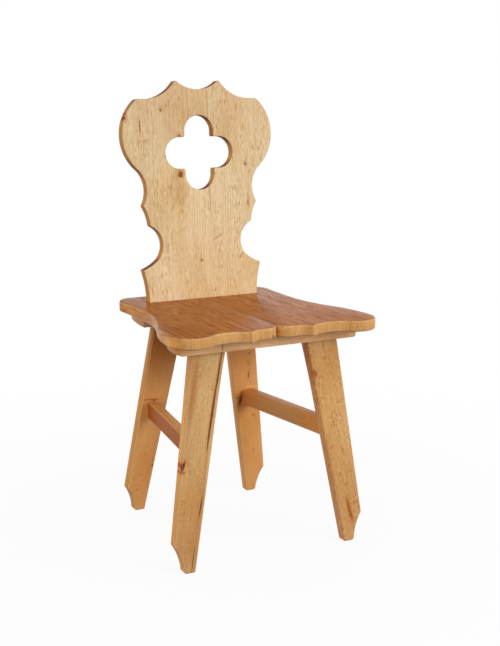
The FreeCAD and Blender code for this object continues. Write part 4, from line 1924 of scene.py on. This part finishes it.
        # tan marks painted shade and blond painted light
        knot, pitch, streak, pale, tan, blond = MarkKind
        lines = {
            (Row.FRONT, Hand.LEFT): (
                (pitch, (-88.5, 417.0), (-110.0, 321.0), 1.8, 0.85, 0.0),
                (pitch, (-105.0, 345.0), (-130.0, 221.0), 2.4, 0.88, 0.4),
                (streak, (-128.0, 222.0), (-137.0, 160.0), 0.9, 0.5, 0.0),
                (pitch, (-141.0, 142.0), (-149.5, 102.0), 1.6, 1.0, 0.8),
                (pitch, (-160.0, 52.0), (-168.5, 0.0), 1.3, 0.75, 0.4),
                (streak, (-189.0, 200.0), (-172.0, 206.0), 4.6, 1.0, 0.0, 30.0),
                (pitch, (-179.5, 193.0), (-173.0, 212.0), 3.0, 0.9, 0.6),
                (streak, (-188.0, 190.0), (-173.0, 191.0), 2.6, 0.9, 0.0, 30.0),
                (pale, (-168.0, 216.5), (-146.0, 200.0), 0.5, 0.5, 0.0),
                # tan: painted shade along the outer edge
                (tan, (-134.0, 430.0), (-172.0, 230.0), 9.0, 0.6, 0.0),
                # tan: painted shade, darker towards the foot
                (tan, (-148.0, 200.0), (-185.0, -60.0), 90.0, 0.28, 0.0, 60.0),
                # painted light below the batten
                (blond, (-150.0, 402.0), (-85.0, 402.0), 26.0, 0.25, 0.0),
            ),
            (Row.FRONT, Hand.RIGHT): (
                (streak, (98.5, 348.0), (104.0, 333.0), 4.6, 0.9, 1.8),
                (pale, (104.0, 329.0), (108.0, 333.0), 0.6, 0.5, 0.4),
                (pale, (109.0, 322.0), (114.0, 327.0), 0.6, 0.5, 0.4),
                (pale, (113.0, 318.0), (119.0, 322.0), 0.6, 0.45, 0.4),
                (streak, (106.0, 325.0), (112.0, 320.0), 1.0, 0.6, 0.4),
                (streak, (165.5, 90.0), (176.5, 42.0), 3.0, 0.9, 0.0),
                (streak, (173.0, 66.0), (181.0, 34.0), 2.2, 0.6, 0.0),
                (knot, (176.7, 53.0), (177.3, 50.0), 1.2, 1.0, 0.5),
                (streak, (139.0, 246.0), (143.0, 234.0), 2.2, 0.45, 0.0),
                (streak, (157.0, 192.0), (162.0, 176.0), 1.6, 0.6, 0.0),
                (pale, (164.0, 209.5), (174.0, 212.5), 0.5, 0.5, 0.0),
                (pitch, (119.5, 404.0), (123.0, 388.0), 1.5, 0.6, 0.0),
                # tan: painted shade on the inner side under the seat
                (tan, (74.0, 460.0), (101.0, 240.0), 11.0, 1.0, 0.0, 40.0),
                # tan: painted shade, darker towards the foot
                (tan, (148.0, 220.0), (190.0, -40.0), 90.0, 0.26, 0.0, 60.0),
                # painted light below the batten
                (blond, (80.0, 402.0), (150.0, 402.0), 26.0, 0.3, 0.0),
            ),
            (Row.REAR, Hand.LEFT): (
                (streak, (-131.0, 248.0), (-97.0, 246.0), 2.4, 0.65, 0.0),
                (pitch, (-109.0, 244.5), (-105.5, 243.5), 1.4, 0.9, 0.0),
                (knot, (-140.6, 50.0), (-139.4, 47.5), 1.3, 0.7, 0.4),
                (knot, (-107.0, 101.0), (-106.2, 97.5), 1.5, 0.8, 0.0),
                (knot, (-105.8, 113.0), (-105.0, 110.0), 1.3, 0.6, 0.0),
                # tan: painted shade of the seat on the upper leg
                (tan, (-80.0, 520.0), (-100.0, 260.0), 120.0, 0.9, 0.0),
            ),
            (Row.REAR, Hand.RIGHT): (
                (knot, (105.8, 325.0), (106.8, 321.0), 2.0, 1.0, 0.4),
                (streak, (103.0, 309.0), (107.0, 296.0), 2.6, 0.4, 0.0),
                (streak, (107.2, 284.0), (108.2, 266.0), 2.0, 0.8, 0.0),
                (knot, (124.2, 181.6), (125.0, 179.0), 1.5, 0.9, 0.5),
                (streak, (94.0, 238.0), (89.5, 204.0), 5.0, 0.8, 0.0),
                (pitch, (93.0, 230.0), (90.5, 208.0), 2.0, 0.7, 0.0),
                (streak, (78.0, 227.0), (93.0, 222.0), 1.2, 0.6, 0.0),
                (pale, (98.0, 246.0), (128.0, 247.0), 3.0, 0.4, 0.0),
                # tan: painted shade of the seat on the upper leg
                (tan, (70.0, 500.0), (100.0, 250.0), 120.0, 0.8, 0.0),
                (streak, (130.0, 103.0), (131.2, 92.0), 1.6, 0.4, 0.0),
            ),
        }
        return [
            Mark.line(
                kind,
                self.spot(hand, *start),
                self.spot(hand, *end),
                wide,
                strength=strength,
                pit=pit,
                deep=deep[0] if deep else self.mark_depth,
            )
            for kind, start, end, wide, strength, pit, *deep in lines[self.row, hand]
        ]

    def dress(self, legs: dict[Hand, Workpiece]) -> None:
        """Gives a pair of legs their pine and hands them over.

        Args:
            legs: the legs by hand.
        """
        for hand, leg in legs.items():
            name = f"{self.row.value}_{hand.word}_leg"
            finish, grain = LEG_FINISHES[self.row, hand], LEG_GRAINS[self.row, hand]
            leg.scar(self.marks(hand), self.frame(hand))
            pine = Timber(f"{name}_pine", finish, grain, self.frame(hand), self.marks(hand))
            leg.hand_over(name, "leg_pine", pine.made())


def inset(level: float, radius: float) -> float:
    """How far a quarter round steps in at a level above its lower end; zero above the round."""
    rest = max(radius - level, 0.0)
    return radius - math.sqrt(radius ** 2 - rest ** 2)


@dataclass(frozen=True)
class Batten:
    """Board under the seat with slanted, bowed ends, the legs' mortises and the screw holes.

    Pairs are for the front and the rear batten. round_step is the angle between two steps of a rounding, in
    degrees.
    """

    layout: Layout
    row: Row
    ends_out: tuple[float, float] = (2.0, 5.0)
    ends_slant: tuple[float, float] = (15.0, 11.0)
    ends_bulge: tuple[float, float] = (9.0, 3.0)
    ends_round: tuple[float, float] = (6.0, 2.5)
    arris: float = 1.6
    round_step: int = 15
    seeds: tuple[float, float] = (23.0, 29.0)

    def build(self, leg: Leg) -> Workpiece:
        """Models the batten.

        Args:
            leg: right-hand leg that stands under it.

        Returns:
            The batten in its place.
        """
        lay = self.layout
        pairs = (self.ends_out, self.ends_slant, self.ends_bulge, self.ends_round)
        out, slant, bulge, end_round = (self.row.pick(pair) for pair in pairs)
        half = lay.batten_length(self.row) / 2 + out
        face = lay.batten_face(self.row)
        back = face + lay.batten_width
        corners = [
            Corner(-half, face),
            Corner(half, face, -bulge),
            Corner(half - slant, back),
            Corner(-half + slant, back, -bulge),
        ]
        board = Workpiece.drawn(f"{self.row.value}_seat_batten", corners, lay.batten_thickness - end_round)
        turns = [math.sin(math.radians(t)) for t in range(0, QUARTER + 1, self.round_step)]
        levels = sorted({r * (1 - turn) for r in (end_round, self.arris) for turn in turns}, reverse=True)
        sizes = [
            (half - inset(level, end_round), lay.batten_width / 2 - inset(level, self.arris))
            for level in levels
        ]
        drops = [above - below for above, below in zip(levels, levels[1:])]
        board.step_down(drops, sizes, Vector((0.0, (face + back) / 2 * MM, 0.0)))
        board.settle(Matrix.Translation((0.0, 0.0, lay.seat_under * MM)))
        mortise = leg.tenon(JOINT_GAP)
        board.combine(mortise.mirrored("left_mortise"), Cut.AWAY)
        board.combine(mortise, Cut.AWAY)
        if self.row is Row.REAR:
            for hand in Hand:
                board.combine(lay.back_tenon("mortise", hand, JOINT_GAP), Cut.AWAY)
        Screws(lay).bore(board, self.row, list(Hand))
        return board

    def dress(self, board: Workpiece) -> None:
        """Gives the batten its pine and its crack and hands it over.

        Args:
            board: the batten.
        """
        middle = Vector((0.0, self.layout.batten_face(self.row), self.layout.seat_under)) * MM
        place = Matrix.Translation(middle) @ Matrix.Rotation(-math.pi / 2, 4, "Z")
        seed = self.row.pick(self.seeds)
        grain = Grain(-30.0, 60.0, lean_z=0.02, ring=3.4, wander=9.0, flecks=60.0, seed=seed)
        crack = Mark(MarkKind.PITCH, 0.0, -99.0, 1.4, 0.7, pit=4.0, z=-13.5, deep=6.0)
        marks = [crack] if self.row is Row.FRONT else []
        board.scar(marks, place)
        pine = Timber(f"{self.row.value}_batten_pine", BATTEN_PINE, grain, place, marks)
        board.hand_over(f"{self.row.value}_batten", "batten_pine", pine.made())


@dataclass(frozen=True)
class Stretcher:
    """Rail between the front and the rear leg of a side, with a blind tenon at each end."""

    front: Leg
    rear: Leg
    top: float = 241.0
    height: float = 35.0
    thickness: float = 21.0
    tenon_height: float = 24.0
    tenon_thickness: float = 11.0
    tenon_length: float = 13.0
    arris: float = 2.8
    arris_steps: int = 4
    seed: float = 31.0

    def frame(self, hand: Hand = Hand.RIGHT) -> Matrix:
        """Frame of the rail: y along it from the front leg, z up, on its middle line.

        Args:
            hand: side of the chair.

        Returns:
            The frame, in metres.
        """
        level = (self.top - self.height / 2) * MM
        ends = []
        for leg in (self.front, self.rear):
            place = leg.frame(hand)
            middle = place @ Vector((0.0, 0.0, -leg.thickness * MM / 2))
            up = place.col[1].to_3d()
            ends.append(middle + up * ((level - middle.z) / up.z))
        run = ends[1] - ends[0]
        return Matrix.Translation(ends[0]) @ Matrix.Rotation(-math.atan2(run.x, run.y), 4, "Z")

    def bar(self, name: str, height: float, thickness: float, depth: float) -> Workpiece:
        """Bar between the two right-hand legs.

        Args:
            name: the piece's name.
            height: its height.
            thickness: its thickness.
            depth: how far it goes into both legs.

        Returns:
            The bar, cut to the legs' faces.
        """
        low = (-thickness / 2, -REACH, -height / 2)
        bar = Workpiece.block(name, low, (thickness / 2, 2 * REACH, height / 2), self.frame())
        front, rear = self.front.frame(), self.rear.frame()
        ahead = front @ Vector((0.0, 0.0, (depth - self.front.thickness) * MM))
        bar.saw(ahead, front.col[2].to_3d())
        bar.saw(rear @ Vector((0.0, 0.0, -depth * MM)), -rear.col[2].to_3d())
        return bar

    def tenons(self, gap: float = 0.0) -> Workpiece:
        """Both tenons as one bar, or with a gap the cutter for their mortises."""
        height, thickness = self.tenon_height + 2 * gap, self.tenon_thickness + 2 * gap
        return self.bar("stretcher_tenons", height, thickness, self.tenon_length + gap)

    def build(self) -> dict[Hand, Workpiece]:
        """Models both rails.

        Returns:
            The rails by hand.
        """
        rail = self.bar("right_side_stretcher", self.height, self.thickness, 0.0)
        along = self.frame().col[1].to_3d()

        def lengthwise(edge: bmesh.types.BMEdge) -> bool:
            """Whether an edge runs along the rail."""
            return abs((edge.verts[1].co - edge.verts[0].co).normalized().dot(along)) > ALONG

        rail.ease(self.arris, self.arris_steps, lengthwise)
        rail.combine(self.tenons(), Cut.ON)
        return {Hand.RIGHT: rail, Hand.LEFT: rail.mirrored("left_side_stretcher")}

    def dress(self, rails: dict[Hand, Workpiece]) -> None:
        """Gives both rails their pine and hands them over.

        Args:
            rails: the rails by hand.
        """
        for hand, rail in rails.items():
            place = self.frame(hand) @ Matrix.Rotation(math.pi / 2, 4, "Y")
            seed = self.seed + hand.value
            grain = Grain(35.0, -45.0 * hand.value, lean_x=0.02, wander=8.0, flecks=60.0, seed=seed)
            finish, marks = LEFT_RAIL_PINE, []
            if hand is Hand.RIGHT:
                # the right rail alone takes a soft patch of painted light
                finish, marks = RAIL_PINE, [Mark(MarkKind.BLOND, 0.0, 160.0, 60.0, 85.0, strength=0.35)]
            pine = Timber(f"{hand.word}_stretcher_pine", finish, grain, place, marks)
            rail.hand_over(f"{hand.word}_stretcher", "stretcher_pine", pine.made())


@dataclass(frozen=True)
class Fittings:
    """Keys, dowels, wedges and screws, which stay as the CAD model has them."""

    legs: dict[Row, Leg]

    def dress(self) -> None:
        """Gives the fittings their beech and steel."""
        grain = Grain(-40.0, -30.0, ring=2.2, wander=4.0, dashes=0.4, flecks=160.0, seed=41.0)
        across = Matrix.Rotation(-math.pi / 2, 4, "Z")
        self.coat(["seat_dowels"], Timber("dowel_beech", BEECH, grain, across).made())
        self.coat(["back_key_left", "back_key_right"], Timber("key_beech", BEECH, grain, Matrix()).made())
        for row, leg in self.legs.items():
            for hand in Hand:
                name = f"{row.value}_{hand.word}_leg_wedge"
                self.coat([name], Timber(f"{name}_beech", BEECH, grain, leg.frame(hand)).made())
        self.coat([f"{row.value}_batten_screws" for row in Row], ScrewSteel().made())

    @staticmethod
    def coat(names: Sequence[str], material: bpy.types.Material) -> None:
        """Puts a material on CAD nodes.

        Args:
            names: the nodes' names.
            material: what they are made of.
        """
        for name in names:
            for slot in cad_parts[name].material_slots:
                slot.material = material
            LOG.info("%s keeps its CAD shape in %s", name, material.name)


@dataclass(frozen=True)
class Lamp:
    """Large square lamp that looks at the chair."""

    name: str
    place: tuple[float, float, float]
    size: float
    power: float


@dataclass(frozen=True)
class Studio:
    """White floor, soft light and the camera."""

    lamps: tuple[Lamp, ...] = (
        Lamp("key_lamp", (2.9, -3.7, 1.9), 2.6, 120.0),
        Lamp("fill_lamp", (-3.9, -2.3, 1.2), 2.4, 40.0),
    )
    ambient: float = 0.75
    floor_grey: float = 0.14
    floor_pale: float = 0.8
    floor_white: float = 0.92
    floor_fade: Range = (0.25, 1.4)
    lamp_target: tuple[float, float, float] = (0.0, 0.0, 0.45)
    camera_place: tuple[float, float, float] = (-0.98762, -1.98402, 0.88513)
    camera_target: tuple[float, float, float] = (0.029416, -0.0095, 0.421112)
    lens: float = 65.05
    floor_size: float = 30.0

    def build(self) -> None:
        """Makes the floor, the lights, the world and the camera."""
        self.floor()
        self.lights()
        self.world()
        self.camera()

    def floor(self) -> None:
        """Adds a pale floor that fades to white and keeps the shadow."""
        clear_bench()
        bpy.ops.mesh.primitive_plane_add(size=self.floor_size)
        floor = bpy.context.object
        floor.name = "floor"
        material = bpy.data.materials.new("floor_paper")
        material.use_nodes = True
        n = Nodes(material.node_tree)
        n.tree.nodes.remove(n.tree.nodes["Principled BSDF"])
        paper = n.tree.nodes.new("ShaderNodeBsdfDiffuse")
        dark, pale = ((tone,) * 3 for tone in (self.floor_grey, self.floor_pale))
        n.feed(paper.inputs["Color"], n.mix(seen_directly(n), dark, pale))
        glow = n.tree.nodes.new("ShaderNodeEmission")
        mixed = n.tree.nodes.new("ShaderNodeMixShader")
        coordinates = n.tree.nodes.new("ShaderNodeTexCoord")
        away = n.vector("LENGTH", coordinates.outputs["Object"]).outputs["Value"]
        fade = n.fade(away, *self.floor_fade)
        spread = n.math("MULTIPLY_ADD", fade, 1.0 - self.floor_white, self.floor_white)
        n.feed(mixed.inputs[0], n.math("MULTIPLY", spread, seen_directly(n)))
        n.tree.links.new(paper.outputs[0], mixed.inputs[1])
        n.tree.links.new(glow.outputs[0], mixed.inputs[2])
        n.tree.links.new(mixed.outputs[0], n.tree.nodes["Material Output"].inputs["Surface"])
        floor.data.materials.append(material)

    def lights(self) -> None:
        """Adds the lamps."""
        for plan in self.lamps:
            clear_bench()
            bpy.ops.object.light_add(type="AREA", location=plan.place)
            lamp = bpy.context.object
            lamp.name = plan.name
            lamp.data.size = plan.size
            lamp.data.energy = plan.power
            look_at(lamp, self.lamp_target)

    def world(self) -> None:
        """Sets an even white surround, brighter where it is seen than where it lights."""
        world = bpy.context.scene.world or bpy.data.worlds.new("surround")
        bpy.context.scene.world = world
        world.use_nodes = True
        n = Nodes(world.node_tree)
        sky = n.tree.nodes["Background"]
        sky.inputs["Color"].default_value = (*WHITE, 1.0)
        strength = n.math("MULTIPLY_ADD", seen_directly(n), 1.0 - self.ambient, self.ambient)
        n.feed(sky.inputs["Strength"], strength)

    def camera(self) -> None:
        """Sets the camera at the photograph's angle."""
        clear_bench()
        bpy.ops.object.camera_add(location=self.camera_place)
        camera = bpy.context.object
        camera.name = "camera"
        camera.data.lens = self.lens
        look_at(camera, self.camera_target)
        bpy.context.scene.camera = camera
        bpy.context.scene.view_settings.view_transform = "Standard"


def look_at(thing: bpy.types.Object, target: Sequence[float]) -> None:
    """Turns a lamp or a camera towards a point."""
    aim = Vector(target) - thing.location
    thing.rotation_euler = aim.to_track_quat("-Z", "Y").to_euler()


def seen_directly(n: Nodes) -> Socket:
    """Tells rays that show a surface to the camera, in a gloss or through glass.

    Args:
        n: the shader tree to build in.

    Returns:
        One for such rays, else zero.
    """
    path = n.tree.nodes.new("ShaderNodeLightPath")
    seen = n.math("MAXIMUM", path.outputs["Is Camera Ray"], path.outputs["Is Glossy Ray"])
    return n.math("MAXIMUM", seen, path.outputs["Is Transmission Ray"])


def main() -> None:
    """Builds the chair's sub-assemblies and the studio."""
    logging.basicConfig(level=logging.INFO, format="%(message)s")
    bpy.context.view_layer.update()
    layout = Layout()
    legs = {row: Leg(layout, row) for row in Row}
    back = BackBoard(layout)
    back.dress(back.build())
    seat = SeatBoards(layout)
    seat.dress(seat.build())
    stretcher = Stretcher(legs[Row.FRONT], legs[Row.REAR])
    for row, leg in legs.items():
        batten = Batten(layout, row)
        batten.dress(batten.build(leg))
        right = leg.build(stretcher.tenons(JOINT_GAP))
        pair = {Hand.RIGHT: right, Hand.LEFT: right.mirrored(f"{row.value}_left_leg_board")}
        leg.dress(pair)
    stretcher.dress(stretcher.build())
    Fittings(legs).dress()
    Studio().build()


if __name__ == "__main__":
    main()
